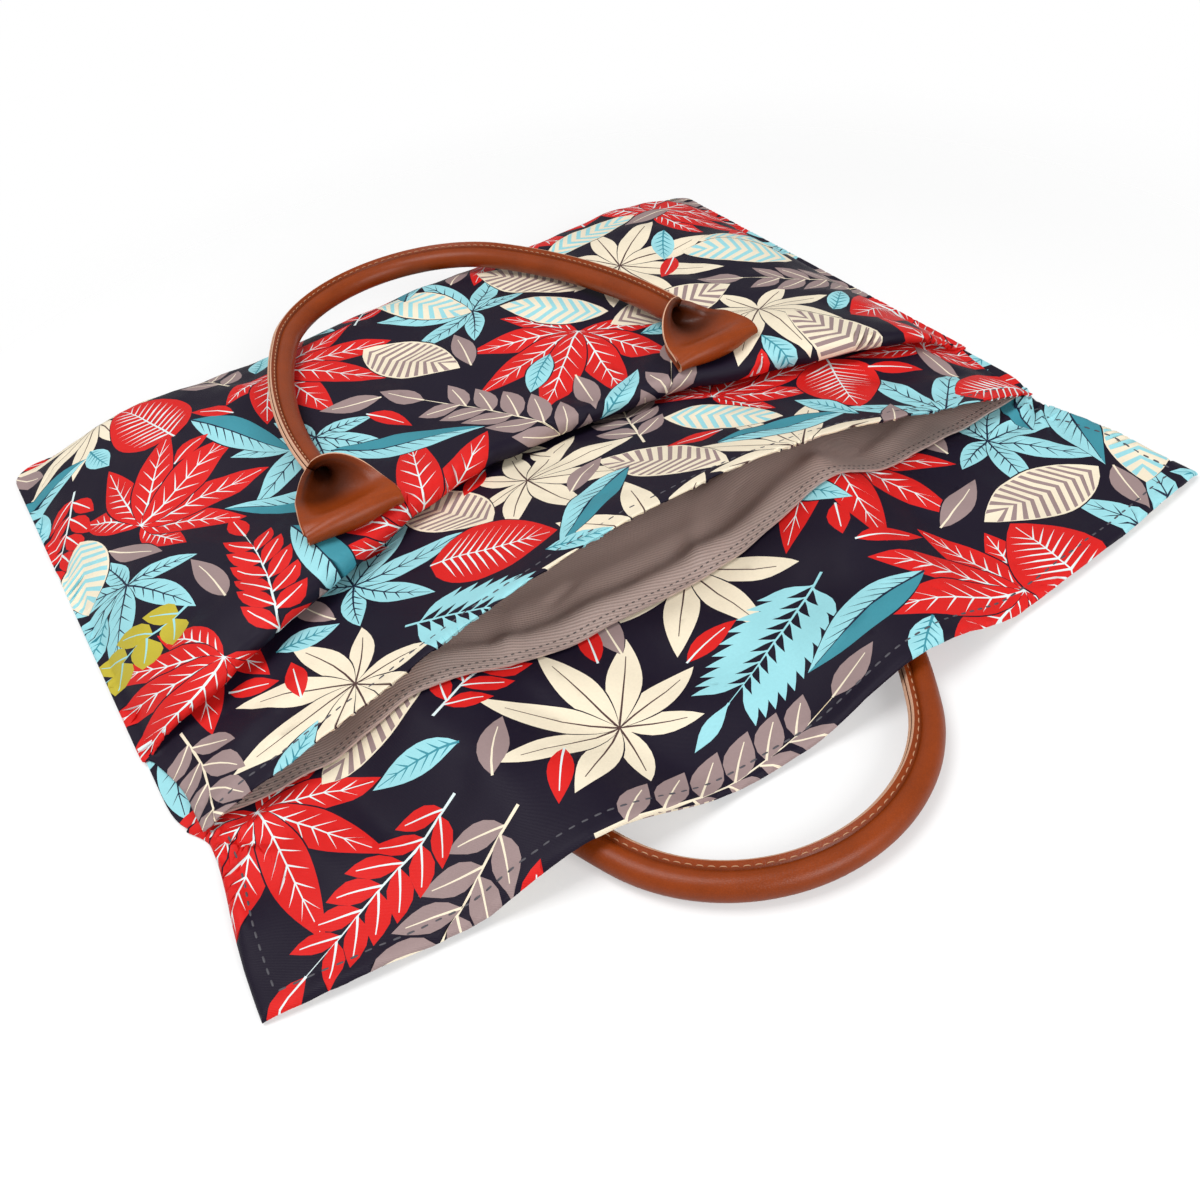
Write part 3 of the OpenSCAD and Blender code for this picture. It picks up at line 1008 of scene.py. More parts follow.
MOTIF_AREA = 100000.0
MOTIFS = (
    MotifKind(4, Layout.FAN, 60, 70, Leaf(0, 19, Ink.RED, Ink.PALE, Veins.HERRINGBONE, 0.85, 0.9), 7, 104),
    MotifKind(3, Layout.FAN, 48, 56, Leaf(0, 14, Ink.CREAM, Ink.UMBER, Veins.RIB, 0.95, 0.9), 8, 150),
    MotifKind(3, Layout.FAN, 46, 54, Leaf(0, 14, Ink.AQUA, Ink.INDIGO, Veins.HERRINGBONE, 0.9, 0.9, 0, 5),
              6, 130),
    MotifKind(4, Layout.SPRIG, 86, 104, Leaf(23, 11, Ink.MAUVE, Ink.CREAM, Veins.RIB, 0.85), 6, 52, 0.25),
    MotifKind(3, Layout.SPRIG, 70, 86, Leaf(20, 9, Ink.RED, Ink.PALE, Veins.RIB, 0.9), 6, 52, 0.2),
    MotifKind(3, Layout.SPRIG, 64, 78, Leaf(25, 6.5, Ink.CREAM, Ink.CREAM, Veins.RIB, 1.1, 1.2), 9, 62, 0.12),
    MotifKind(2, Layout.SPRIG, 64, 76, Leaf(24, 6, Ink.AQUA, Ink.AQUA, Veins.RIB, 1.1, 1.2), 10, 60, 0.15),
    MotifKind(4, Layout.SINGLE, 50, 58, Leaf(0, 39, Ink.RED, Ink.PALE, Veins.HERRINGBONE, 0.78, 0.8, 0.05, 11)),
    MotifKind(3, Layout.SINGLE, 58, 68, Leaf(0, 30, Ink.CREAM, Ink.MAUVE, Veins.STRIPES, 0.9, 0.85, 0.06, 11)),
    MotifKind(3, Layout.SINGLE, 54, 62, Leaf(0, 25, Ink.CREAM, Ink.AQUA, Veins.STRIPES, 0.95, 0.85, -0.05, 8)),
    MotifKind(4, Layout.SINGLE, 58, 70, Leaf(0, 18, Ink.AQUA, Ink.TEAL, Veins.HALVES, 0.9, pairs=9), sway=0.2),
    MotifKind(3, Layout.SPRIG, 52, 64, Leaf(17, 13, Ink.OLIVE, Ink.AQUA, Veins.RIB, 0.8, 0.8), 4, 60, 0.3),
    MotifKind(5, Layout.SPRIG, 40, 52, Leaf(22, 11, Ink.AQUA, Ink.INDIGO, Veins.HERRINGBONE, 0.85, 0.9, 0, 5),
              3, 45, 0.3),
    MotifKind(6, Layout.SPRIG, 34, 44, Leaf(18, 8, Ink.CREAM, Ink.UMBER, Veins.RIB, 0.9), 3, 40, 0.3),
    MotifKind(7, Layout.SINGLE, 26, 36, Leaf(0, 11, Ink.MAUVE, Ink.CREAM, Veins.RIB, 0.9), sway=0.2),
    MotifKind(7, Layout.SINGLE, 24, 34, Leaf(0, 12, Ink.AQUA, Ink.TEAL, Veins.HERRINGBONE, 0.9, bend=0.1)),
    MotifKind(8, Layout.SINGLE, 20, 28, Leaf(0, 9, Ink.RED, Ink.PALE, Veins.RIB, 0.9), sway=0.2),
)


@dataclass
class LeafPrint:
    """A generic all-over foliage print, laid out by a seeded search for free ground."""

    seed: int
    low: Array
    high: Array
    density: float = 1.7  # factor on the number of motifs
    tries: int = 160  # places tried for each motif
    overlap: float = 8.0  # how far two motifs may reach into each other
    room: float = 6.0  # free ground past which no place is better
    patches: list[Patch] = field(default_factory=list)
    discs: list[Array] = field(default_factory=list)

    def lay_out(self) -> list[Patch]:
        """Fills the cloth with motifs.

        Returns:
            Their fields of ink, from the lowest to the topmost.
        """
        draw = random.Random(self.seed)
        share = float(np.prod(self.high - self.low)) / MOTIF_AREA
        for kind in MOTIFS:
            for _ in range(round(kind.count * share * self.density)):
                self.add(kind.make(draw), draw)
        LOG.info("print %d: %d fields of ink", self.seed, len(self.patches))
        return self.patches

    def add(self, motif: Motif, draw: random.Random) -> None:
        """Puts one motif on the freest of the places tried, or leaves it out where all are taken.

        Args:
            motif: The motif.
            draw: Source of the places.
        """
        best, best_room = None, -self.overlap
        taken = np.concatenate(self.discs) if self.discs else np.empty((0, 3))
        for _ in range(self.tries):
            place = np.array([draw.uniform(low, high) for low, high in zip(self.low, self.high)])
            degrees = draw.uniform(0.0, 360.0)
            centres = turned(motif.discs[:, :2], degrees) + place
            away = np.hypot(*(centres[:, None, :] - taken[None, :, :2]).transpose(2, 0, 1))
            room = float((away - motif.discs[:, 2:] - taken[None, :, 2]).min(initial=self.room))
            if room > best_room:
                best, best_room = (place, degrees, centres), room
        if best is not None:
            place, degrees, centres = best
            self.discs.append(np.column_stack([centres, motif.discs[:, 2]]))
            self.patches += [patch.moved(place, degrees) for patch in motif.patches]


@dataclass(frozen=True)
class CutCloth:
    """A flat piece of cloth, cut along its outline and along its print."""

    pattern: Array
    triangles: Array
    inks: Sequence[Ink] = ()  # one for each triangle, or none on plain cloth


def staggered(xs: Array, ys: Array, spacing: float) -> Array:
    """Points in rows, every second row moved by half a spacing."""
    return np.array([[x + (spacing / 2 if k % 2 else 0.0), y] for k, y in enumerate(ys) for x in xs])


def disc_points(x: float, y: float, radius: float, spacing: float = 1.4) -> Array:
    """Closely spaced points in a disc, for places where cloth is gathered.

    Args:
        x: Place of the disc across the cloth.
        y: Place of the disc along the cloth.
        radius: Radius of the disc.
        spacing: Distance between two points.

    Returns:
        The points, one a row.
    """
    steps = np.arange(-radius, radius, spacing)
    grid = staggered(steps, steps, spacing)
    return grid[np.hypot(grid[:, 0], grid[:, 1]) < radius] + np.array([x, y])


def closed_outline(across: Array, first: Array | float, last: Array | float, right: Array,
                   left: Array) -> Array:
    """Outline of a piece of cloth through its first edge, right side, last edge and left side, anticlockwise."""
    return np.concatenate([rows_of(across, first), rows_of(across[-1], right)[1:],
                           rows_of(across, last)[::-1][1:], rows_of(across[0], left)[1:-1]])


def rounded_off(outline: Array, half: float, far: float, radius: float) -> Array:
    """Outline of a piece whose two corners at the far end are rounded off.

    Args:
        outline: Outline of the piece, with square corners.
        half: Half width of the piece.
        far: Place of its far end.
        radius: Radius of the corners.

    Returns:
        The outline with its corner points moved onto the arcs.
    """
    centre = rows_of(np.sign(outline[:, 0]) * (half - radius), far - radius)
    arc = centre + unit_rows(outline - centre) * radius
    corner = (np.abs(outline[:, 0]) > half - radius) & (outline[:, 1] > far - radius)
    return np.where(corner[:, None], arc, outline)


def cut_cloth(outline: Array, patches: Sequence[Patch], spacing: float,
              extra: Sequence[Array] = ()) -> CutCloth:
    """Triangulates a piece of cloth so that every edge of the print is an edge of the mesh.

    Args:
        outline: Outline of the piece, anticlockwise, closely spaced.
        patches: Fields of ink, from the lowest to the topmost.
        spacing: Distance between the points that fill the piece.
        extra: More points where the cloth is bent tightly.

    Returns:
        The cut cloth.
    """
    rim_steps, fill_in, first_step, row_step, weld = (0.2, 0.55, 1.2, 2.4), 2.6, 0.7, 0.87, 1e-4
    low, high = outline.min(axis=0), outline.max(axis=0)
    run = np.roll(outline, -1, axis=0) - np.roll(outline, 1, axis=0)
    inward = unit_rows(np.stack([-run[:, 1], run[:, 0]], axis=-1))
    xs = np.arange(low[0] + spacing * first_step, high[0], spacing)
    ys = np.arange(low[1] + spacing * first_step, high[1], spacing * row_step)
    grid = np.concatenate([staggered(xs, ys, spacing), *extra])
    grid = grid[inside(grid, outline + inward * fill_in)]
    points = [outline, *(outline + inward * step for step in rim_steps), grid]
    count = sum(len(p) for p in points)
    loops, inks = [list(range(len(outline)))], [Ink.NAVY]
    for patch in patches:
        ring = patch.points
        if (ring.max(axis=0) < low).any() or (ring.min(axis=0) > high).any():
            continue
        ahead = np.roll(ring, -1, axis=0)
        winding = float((ring[:, 0] * ahead[:, 1] - ahead[:, 0] * ring[:, 1]).sum())
        points.append(ring if winding > 0 else ring[::-1])
        loops.append(list(range(count, count + len(ring))))
        inks.append(patch.ink)
        count += len(ring)
    result = delaunay_2d_cdt([Vector(p) for p in np.concatenate(points)], [], loops, 1, weld, True)
    pattern = np.array([tuple(v) for v in result[0]])
    kept = [(face, inks[max(owners)]) for face, owners in zip(result[2], result[5]) if 0 in owners]
    used, numbers = np.unique(np.array([face for face, _ in kept]), return_inverse=True)
    return CutCloth(pattern[used], numbers.reshape(-1, 3), [ink for _, ink in kept])


def inside(points: Array, outline: Array) -> Array:
    """Whether points lie inside an outline, by counting the edges to their right.

    Args:
        points: The points, one a row.
        outline: The outline's points.

    Returns:
        True or false for each point.
    """
    found = np.zeros(len(points), bool)
    for (x0, y0), (x1, y1) in zip(outline, np.roll(outline, -1, axis=0)):
        if y0 != y1:
            crosses = (points[:, 1] < y0) != (points[:, 1] < y1)
            found ^= crosses & (points[:, 0] < x0 + (points[:, 1] - y0) * (x1 - x0) / (y1 - y0))
    return found


def vertex_normals(points: Array, triangles: Array) -> Array:
    """Mean normal at each point of a triangle mesh.

    Args:
        points: Points, one a row.
        triangles: Corner numbers, one triangle a row.

    Returns:
        Unit normals, one a row.
    """
    a, b, c = (points[triangles[:, k]] for k in range(3))
    faces = np.cross(b - a, c - a)
    normals = np.zeros_like(points)
    for k in range(3):
        np.add.at(normals, triangles[:, k], faces)
    return unit_rows(normals)


def boundary(triangles: Array) -> tuple[Array, Array]:
    """Edges of a triangle mesh that only one triangle has.

    Args:
        triangles: Corner numbers, one triangle a row.

    Returns:
        The edges in their triangle's direction, and the number of that triangle.
    """
    edges = np.concatenate([triangles[:, [0, 1]], triangles[:, [1, 2]], triangles[:, [2, 0]]])
    owner = np.tile(np.arange(len(triangles)), 3)
    _, first, uses = np.unique(np.sort(edges, axis=1), axis=0, return_index=True, return_counts=True)
    single = first[uses == 1]
    return edges[single], owner[single]


def new_object(name: str, points: Array, faces: Sequence[Sequence[int]], sharp: float = 50.0) -> Object:
    """Makes a smooth mesh object from points in millimetres.

    Args:
        name: Name of the piece.
        points: Points in millimetres.
        faces: Corner numbers of each face.
        sharp: Angle from which an edge is drawn sharp, in degrees.

    Returns:
        The object, linked to the scene.
    """
    mesh = bpy.data.meshes.new(name)
    mesh.from_pydata((np.asarray(points) * MM).tolist(), [], [list(map(int, f)) for f in faces])
    mesh.shade_smooth()
    mesh.set_sharp_from_angle(angle=math.radians(sharp))
    return link(bpy.data.objects.new(name, mesh))


def link(made: Object) -> Object:
    """Links an object to the scene and returns it."""
    bpy.context.scene.collection.objects.link(made)
    return made


def set_uv(made: Object, name: str, places: Array) -> None:
    """Writes one place for each vertex into a UV map.

    Args:
        made: The piece.
        name: Name of the map.
        places: Places in the map, one a vertex.
    """
    mesh = made.data
    corners = np.empty(len(mesh.loops), np.int32)
    mesh.loops.foreach_get("vertex_index", corners)
    mesh.uv_layers.new(name=name).data.foreach_set("uv", places[corners].astype(np.float32).ravel())


def set_tone(made: Object, tones: Array) -> None:
    """Writes the leather's tone at each vertex, which its material reads."""
    layer = made.data.attributes.new("tone", "FLOAT", "POINT")
    layer.data.foreach_set("value", np.asarray(tones, np.float32))


def closed_sheet(name: str, cloth: CutCloth, place: PlaceFunction, thick: float) -> Object:
    """Makes a sheet of cloth with two faces and a rim.

    Args:
        name: Name of the piece.
        cloth: The flat cloth, which has the triangles of the upper face.
        place: Gives the points of the upper face for pattern places.
        thick: Thickness of the cloth in millimetres.

    Returns:
        The object, with its pattern places in decimetres in one UV map and both faces apart in another.
    """
    decimetre, fit, margin = 100.0, 0.98, 0.01
    pattern, triangles = cloth.pattern, cloth.triangles
    upper = place(pattern)
    lower = upper - vertex_normals(upper, triangles) * thick
    count = len(pattern)
    edges, owners = boundary(triangles)
    walls = np.column_stack([edges[:, 1], edges[:, 0], edges[:, 0] + count, edges[:, 1] + count])
    faces = triangles.tolist() + (triangles[:, ::-1] + count).tolist() + walls.tolist()
    made = new_object(name, np.concatenate([upper, lower]), faces)
    set_uv(made, "pattern", np.concatenate([pattern, pattern]) / decimetre)
    unit = (pattern - pattern.min(axis=0)) / np.ptp(pattern, axis=0).max() * np.array([1.0, 0.5])
    set_uv(made, "OFBake", np.concatenate([unit, unit + np.array([0.0, 0.5])]) * fit + margin)
    if cloth.inks:
        inks = np.array([(*ink.linear, 1.0) for ink in cloth.inks], np.float32)
        face = np.repeat(inks, 3, axis=0)
        corners = np.concatenate([face, face, np.repeat(inks[owners], 4, axis=0)])
        layer = made.data.color_attributes.new("print", "FLOAT_COLOR", "CORNER")
        layer.data.foreach_set("color", corners.ravel())
    return made


def grid_cloth(xs: Array, ys: Array) -> CutCloth:
    """A plain piece of cloth with its points on a grid.

    Args:
        xs: Places of the columns.
        ys: Places of the rows.

    Returns:
        The cloth, two triangles a cell.
    """
    pattern = np.array([[x, y] for y in ys for x in xs])
    n = len(xs)
    corners = [j * n + i for j in range(len(ys) - 1) for i in range(n - 1)]
    pairs = [([a, a + 1, a + n + 1], [a, a + n + 1, a + n]) for a in corners]
    return CutCloth(pattern, np.array(pairs).reshape(-1, 3))


def tube_faces(rings: int, count: int, flip: bool = False, first: int = 0) -> list[list[int]]:
    """Faces of a closed tube, row by row and then its two ends.

    Args:
        rings: Number of rings.
        count: Points of a ring, anticlockwise when seen from the tube's last end.
        flip: Whether the rings run clockwise instead.
        first: Number of the first point.

    Returns:
        Corner numbers of each face.
    """
    starts = [first + j * count for j in range(rings)]
    faces = [[a + i, a + (i + 1) % count, a + count + (i + 1) % count, a + count + i]
             for a in starts[:-1] for i in range(count)]
    faces += [[first + i for i in reversed(range(count))], [starts[-1] + i for i in range(count)]]
    return [face[::-1] for face in faces] if flip else faces


VECTOR, FLOAT = "NodeSocketVector", "NodeSocketFloat"
BUMP_REACH = 0.0002


class NodeBook:
    """Small helper that adds linked nodes to one tree."""

    def __init__(self, tree: NodeTree) -> None:
        """Starts with a tree to which nodes are added."""
        self.tree = tree

    def add(self, kind: str, **settings: object) -> Node:
        """Adds a node and sets its properties.

        Args:
            kind: Type of the node.
            settings: Values by property name.

        Returns:
            The node.
        """
        node = self.tree.nodes.new(kind)
        for name, value in settings.items():
            setattr(node, name, value)
        return node

    def feed(self, node: Node, **inputs: object) -> Node:
        """Links sockets to a node's inputs, or sets values on them.

        Args:
            node: The node.
            inputs: Sockets or values by input name with _ for a space, or by in0, in1 and so on.

        Returns:
            The node.
        """
        for name, value in inputs.items():
            key = int(name[2:]) if name.startswith("in") and name[2:].isdigit() else name.replace("_", " ")
            if isinstance(value, NodeSocket):
                self.tree.links.new(value, node.inputs[key])
            else:
                node.inputs[key].default_value = value
        return node

    def math(self, operation: str, a: object, b: object = 0.0) -> NodeSocket:
        """Adds a Math node and returns its value."""
        return self.feed(self.add("ShaderNodeMath", operation=operation), in0=a, in1=b).outputs[0]

    def times(self, a: object, b: object) -> NodeSocket:
        """Product of two values."""
        return self.math("MULTIPLY", a, b)

    def plus(self, a: object, b: object) -> NodeSocket:
        """Sum of two values."""
        return self.math("ADD", a, b)

    def noise(self, vector: object, scale: object, detail: float) -> NodeSocket:
        """Adds a noise texture and returns its value."""
        node = self.add("ShaderNodeTexNoise")
        return self.feed(node, Vector=vector, Scale=scale, Detail=detail).outputs["Fac"]

    def span(self, value: NodeSocket, low: float, high: float) -> NodeSocket:
        """Maps 0 to 1 onto a range."""
        return self.feed(self.add("ShaderNodeMapRange"), Value=value, To_Min=low, To_Max=high).outputs[0]

    def group(self, tree: NodeTree, **inputs: object) -> NodeOutputs:
        """Places a shared effect with its own values and returns its outputs."""
        return self.feed(self.add("ShaderNodeGroup", node_tree=tree), **inputs).outputs

    def tinted(self, colour: object, shade: NodeSocket) -> NodeSocket:
        """Multiplies a colour by a shade.

        Args:
            colour: The colour, or a socket that gives it.
            shade: The shade.

        Returns:
            The shaded colour.
        """
        grey = self.feed(self.add("ShaderNodeCombineColor"), Red=shade, Green=shade, Blue=shade).outputs[0]
        node = self.add("ShaderNodeMix", data_type="RGBA", blend_type="MULTIPLY")
        return self.feed(node, Factor=1.0, in6=colour, in7=grey).outputs[2]

    def bumped(self, height: NodeSocket, strength: float) -> NodeSocket:
        """Normal of a surface with a fine relief."""
        node = self.add("ShaderNodeBump")
        return self.feed(node, Height=height, Strength=strength, Distance=BUMP_REACH).outputs["Normal"]


def node_group(name: str, inputs: dict[str, str],
               outputs: dict[str, str]) -> tuple[NodeBook, NodeOutputs, Node]:
    """Starts a shader node group with named sockets.

    Args:
        name: Name of the group.
        inputs: Socket types by input name.
        outputs: Socket types by output name.

    Returns:
        The group's node book, the sockets of its inputs and its output node.
    """
    tree = bpy.data.node_groups.new(name, "ShaderNodeTree")
    for way, sockets in (("INPUT", inputs), ("OUTPUT", outputs)):
        for label, kind in sockets.items():
            tree.interface.new_socket(name=label, in_out=way, socket_type=kind)
    book = NodeBook(tree)
    return book, book.add("NodeGroupInput").outputs, book.add("NodeGroupOutput")


class Effects:
    """Shader node groups that several finishes share, each built once."""

    def __init__(self) -> None:
        """Builds all groups."""
        self.twill = self.build_twill()
        self.mottle = self.build_mottle()
        self.grain = self.build_grain()

    @staticmethod
    def build_twill() -> NodeTree:
        """Slanting ribs of a twill weave, crossed by finer yarns.

        Returns:
            The group.
        """
        rib_share, yarn_share, yarn_rate, yarn_slope, slub_scale = 0.7, 0.3, 1.9, 0.6, 90.0
        inputs = {"Vector": VECTOR, "Pitch": FLOAT, "Slant": FLOAT, "Contrast": FLOAT}
        book, given, end = node_group("twill weave", inputs, {"Height": FLOAT, "Shade": FLOAT})
        parts = book.feed(book.add("ShaderNodeSeparateXYZ"), Vector=given["Vector"]).outputs
        turns = book.math("DIVIDE", math.tau, given["Pitch"])
        slant = book.plus(book.times(parts["X"], given["Slant"]), parts["Y"])
        cross = book.math("SUBTRACT", parts["X"], book.times(parts["Y"], yarn_slope))
        rib = book.math("SINE", book.times(slant, turns))
        yarn = book.math("SINE", book.times(cross, book.times(turns, yarn_rate)))
        height = book.plus(book.times(rib, rib_share), book.times(yarn, yarn_share))
        slub = book.span(book.noise(given["Vector"], slub_scale, 3.0), 0.94, 1.06)
        book.feed(end, Height=height, Shade=book.plus(book.times(height, given["Contrast"]), slub))
        return book.tree

    @staticmethod
    def build_mottle() -> NodeTree:
        """Cloudy unevenness of dye, ink or handling.

        Returns:
            The group.
        """
        inputs = {"Vector": VECTOR, "Scale": FLOAT, "Amount": FLOAT}
        book, given, end = node_group("mottle", inputs, {"Shade": FLOAT})
        off = book.math("SUBTRACT", book.noise(given["Vector"], given["Scale"], 5.0), 0.5)
        book.feed(end, Shade=book.plus(book.times(book.times(off, 2.0), given["Amount"]), 1.0))
        return book.tree

    @staticmethod
    def build_grain() -> NodeTree:
        """Fine pebbles and pores of finished leather.

        Returns:
            The group.
        """
        pebble_share, fine_share, steepness, fine_scale = 0.75, 0.25, 5.0, 900.0
        book, given, end = node_group("leather grain", {"Vector": VECTOR, "Scale": FLOAT},
                                      {"Height": FLOAT, "Pores": FLOAT})
        cells = book.add("ShaderNodeTexVoronoi", feature="DISTANCE_TO_EDGE")
        book.feed(cells, Vector=given["Vector"], Scale=given["Scale"])
        pebble = book.math("MINIMUM", book.times(cells.outputs["Distance"], steepness), 1.0)
        fine = book.noise(given["Vector"], fine_scale, 2.0)
        height = book.plus(book.times(pebble, pebble_share), book.times(fine, fine_share))
        book.feed(end, Height=height, Pores=pebble)
        return book.tree


def new_material(name: str, roughness: float) -> tuple[Material, NodeBook, Node]:
    """Makes a material with a plain surface.

    Args:
        name: Name of the material.
        roughness: Its roughness.

    Returns:
        The material, its node book and its surface shader.
    """
    material = bpy.data.materials.new(name)
    material.use_nodes = True
    shader = next(node for node in material.node_tree.nodes if node.type == "BSDF_PRINCIPLED")
    book = NodeBook(material.node_tree)
    return material, book, book.feed(shader, Roughness=roughness)


@dataclass(frozen=True)
class ClothFinish:
    """Woven cloth, plain or printed."""

    name: str
    roughness: float
    colour: Triple | None  # linear, or None where the print gives it
    pitch: float  # of the twill ribs, in decimetres
    relief: float
    sheen: float
    mottle: float
    gloss: float
    slant: float = 0.7
    contrast: float = 0.05  # in shade, between ribs and gaps
    cloud_scale: float = 3.5
    rib_rough: float = 0.05
    sheen_rough: float = 0.4

    def make(self, effects: Effects) -> Material:
        """Builds the material.

        Args:
            effects: The shared effects.

        Returns:
            The material.
        """
        material, book, shader = new_material(self.name, self.roughness)
        places = book.add("ShaderNodeUVMap", uv_map="pattern").outputs[0]
        weave = book.group(effects.twill, Vector=places, Pitch=self.pitch, Slant=self.slant,
                           Contrast=self.contrast)
        cloud = book.group(effects.mottle, Vector=places, Scale=self.cloud_scale, Amount=self.mottle)
        if self.colour is None:
            base = book.add("ShaderNodeVertexColor", layer_name="print").outputs["Color"]
        else:
            base = (*self.colour, 1.0)
        book.feed(shader, Base_Color=book.tinted(base, book.times(weave["Shade"], cloud["Shade"])),
                  Roughness=book.plus(book.times(weave["Height"], self.rib_rough), self.roughness),
                  Normal=book.bumped(weave["Height"], self.relief), Sheen_Weight=self.sheen,
                  Sheen_Roughness=self.sheen_rough, Specular_IOR_Level=self.gloss)
        return material


@dataclass(frozen=True)
class LeatherFinish:
    """Smooth finished leather, with painted shade in its folds and beside its seams."""

    name: str
    roughness: float
    colour: Triple = (0.29, 0.046, 0.004)
    # colour of the painted shade in folds and beside the seams
    dark: Triple = (0.035, 0.008, 0.003)  # in folds and round the seams
    coat: float = 0.09
    coat_rough: float = 0.3
    gloss: float = 0.23
    grain_scale: float = 1300.0
    relief: float = 0.22
    pore_shade: float = 0.86
    clouds: tuple[float, float] = (60.0, 0.22)  # scale and amount of the broad unevenness
    streaks: tuple[float, float] = (320.0, 0.1)  # scale and amount of the fine unevenness

    def make(self, effects: Effects) -> Material:
        """Builds the material.

        Args:
            effects: The shared effects.

        Returns:
            The material.
        """
        material, book, shader = new_material(self.name, self.roughness)
        places = book.add("ShaderNodeTexCoord").outputs["Object"]
        grain = book.group(effects.grain, Vector=places, Scale=self.grain_scale)
        cloud, streak = (book.group(effects.mottle, Vector=places, Scale=scale, Amount=amount)["Shade"]
                         for scale, amount in (self.clouds, self.streaks))
        # The tone attribute blends towards the dark colour: painted shade in the strap's throats and folds.
        tone = book.add("ShaderNodeAttribute", attribute_name="tone").outputs["Fac"]
        blend = book.feed(book.add("ShaderNodeMix", data_type="RGBA"), Factor=tone, in6=(*self.dark, 1.0),
                          in7=(*self.colour, 1.0)).outputs[2]
        shade = book.times(book.times(cloud, streak), book.span(grain["Pores"], self.pore_shade, 1.0))
        book.feed(shader, Base_Color=book.tinted(blend, shade), Roughness=book.times(cloud, self.roughness),
                  Normal=book.bumped(grain["Height"], self.relief), Coat_Weight=self.coat,
                  Coat_Roughness=self.coat_rough, Specular_IOR_Level=self.gloss)
        return material


@dataclass(frozen=True)
class FibreFinish:
    """Raw edges, thread, cord and wadding, which show loose fibres."""

    name: str
    roughness: float
    colour: Triple
    scale: float = 2500.0
    amount: float = 0.2
    relief: float = 0.4

    def make(self, effects: Effects) -> Material:
        """Builds the material.

        Args:
            effects: The shared effects.

        Returns:
            The material.
        """
        material, book, shader = new_material(self.name, self.roughness)
        places = book.add("ShaderNodeTexCoord").outputs["Object"]
        fibres = book.group(effects.mottle, Vector=places, Scale=self.scale, Amount=self.amount)["Shade"]
        book.feed(shader, Base_Color=book.tinted((*self.colour, 1.0), fibres),
                  Normal=book.bumped(fibres, self.relief))
        return material


class Wardrobe:
    """All finishes of the bag, ready to be put on its pieces."""

    def __init__(self) -> None:
        """Builds the shared effects and every material."""
        effects = Effects()
        taupe = tuple(to_linear(v) for v in (0.74, 0.65, 0.618))
        self.printed = ClothFinish("printed_cloth", 0.5, None, 0.0062, 0.22, 0.0, 0.05, 0.16).make(effects)
        self.lining = ClothFinish("lining_twill", 0.34, taupe, 0.0125, 0.5, 0.05, 0.08, 0.45,
                                  slant=0.25, contrast=0.13).make(effects)
        self.leather = (LeatherFinish("saddle_leather", 0.36).make(effects),
                        FibreFinish("raw_leather_edge", 0.7, (0.64, 0.37, 0.24), 1500.0, 0.3).make(effects))
        self.tan_thread = FibreFinish("tan_thread", 0.6, (0.5, 0.26, 0.14)).make(effects)
        self.dark_thread = FibreFinish("dark_thread", 0.6, (0.07, 0.066, 0.08)).make(effects)
        self.taupe_thread = FibreFinish("taupe_thread", 0.6, (0.1, 0.082, 0.078)).make(effects)
        self.cord = FibreFinish("cotton_cord", 0.85, (0.3, 0.2, 0.13), 900.0, 0.3).make(effects)
        self.wadding = FibreFinish("wadding", 0.95, (0.55, 0.55, 0.53), 400.0, 0.15).make(effects)


def dress(made: Object, body: Body, slot: Slot, *materials: Material, node: str = "") -> None:
    """Gives a piece its materials and the body that it rides on.

    Args:
        made: The piece.
        body: Body that it rides on.
        slot: Not used.
        materials: Its materials, in the order of its faces' numbers.
        node: CAD node that it replaces, if any.
    """
    for material in materials:
        made.data.materials.append(material)
    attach(made, body.value)
    if node:
        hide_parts(node)
    LOG.info("%s: %d faces", made.name, len(made.data.polygons))


def read_along(run: Array, rows: Array, distance: float) -> Array:
    """A row read between the rows of a line, at a distance along it."""
    return np.array([np.interp(distance, run, column) for column in rows.T])


@dataclass(frozen=True)
class Stitching:
    """A row of sewn stitches, each a flattened capsule of thread pulled into the material, in millimetres."""

    pitch: float = 4.6
    length: float = 3.6
    width: float = 0.8
    sink: float = 0.02  # depth of the thread's middle under the surface
    thin: float = 0.85  # share of the width lost at both ends
    flat: float = 0.36  # half height as a share of the width
    stand: float = 0.12  # rise as a share of the width
    dip: float = 0.25
    rings: int = 5
    sides: int = 8

    def row(self, name: str, lines: Sequence[tuple[Array, Array]]) -> Object:
        """Lays stitches along lines.

        Args:
            name: Name of the piece.
            lines: Points and surface normals along each line, closely spaced.

        Returns:
            One object with all stitches.
        """
        points, faces = [], []
        for line, normals in lines:
            run = run_along(line)
            for k in range(int(run[-1] // self.pitch)):
                middle, reach = k + 0.5, 0.5 * self.length / self.pitch
                a, b = (read_along(run, line, d * self.pitch) for d in (middle - reach, middle + reach))
                faces += tube_faces(self.rings, self.sides, first=len(points))
                points += self.one(a, b, read_along(run, normals, middle * self.pitch))
        return new_object(name, np.array(points), faces)

    def one(self, a: Array, b: Array, up: Array) -> list[Array]:
        """Points of one stitch, ring by ring.

        Args:
            a: Its first end on the surface.
            b: Its second end on the surface.
            up: Normal of the surface.

        Returns:
            The points.
        """
        along = (b - a) / np.linalg.norm(b - a)
        up = up - along * float(up @ along)
        up /= np.linalg.norm(up)
        side = np.cross(up, along)
        points = []
        for share in np.linspace(-1, 1, self.rings):
            arch = 1.0 - self.thin * share**4
            centre = (a + b) / 2 + along * share * self.length / 2
            lift = up * (self.stand * self.width * arch - self.sink - self.dip * share**4)
            for turn in (math.tau * i / self.sides for i in range(self.sides)):
                wide = side * math.cos(turn) * self.width / 2
                high = up * math.sin(turn) * self.width * self.flat
                points.append(centre + (wide + high) * arch + lift)
        return points


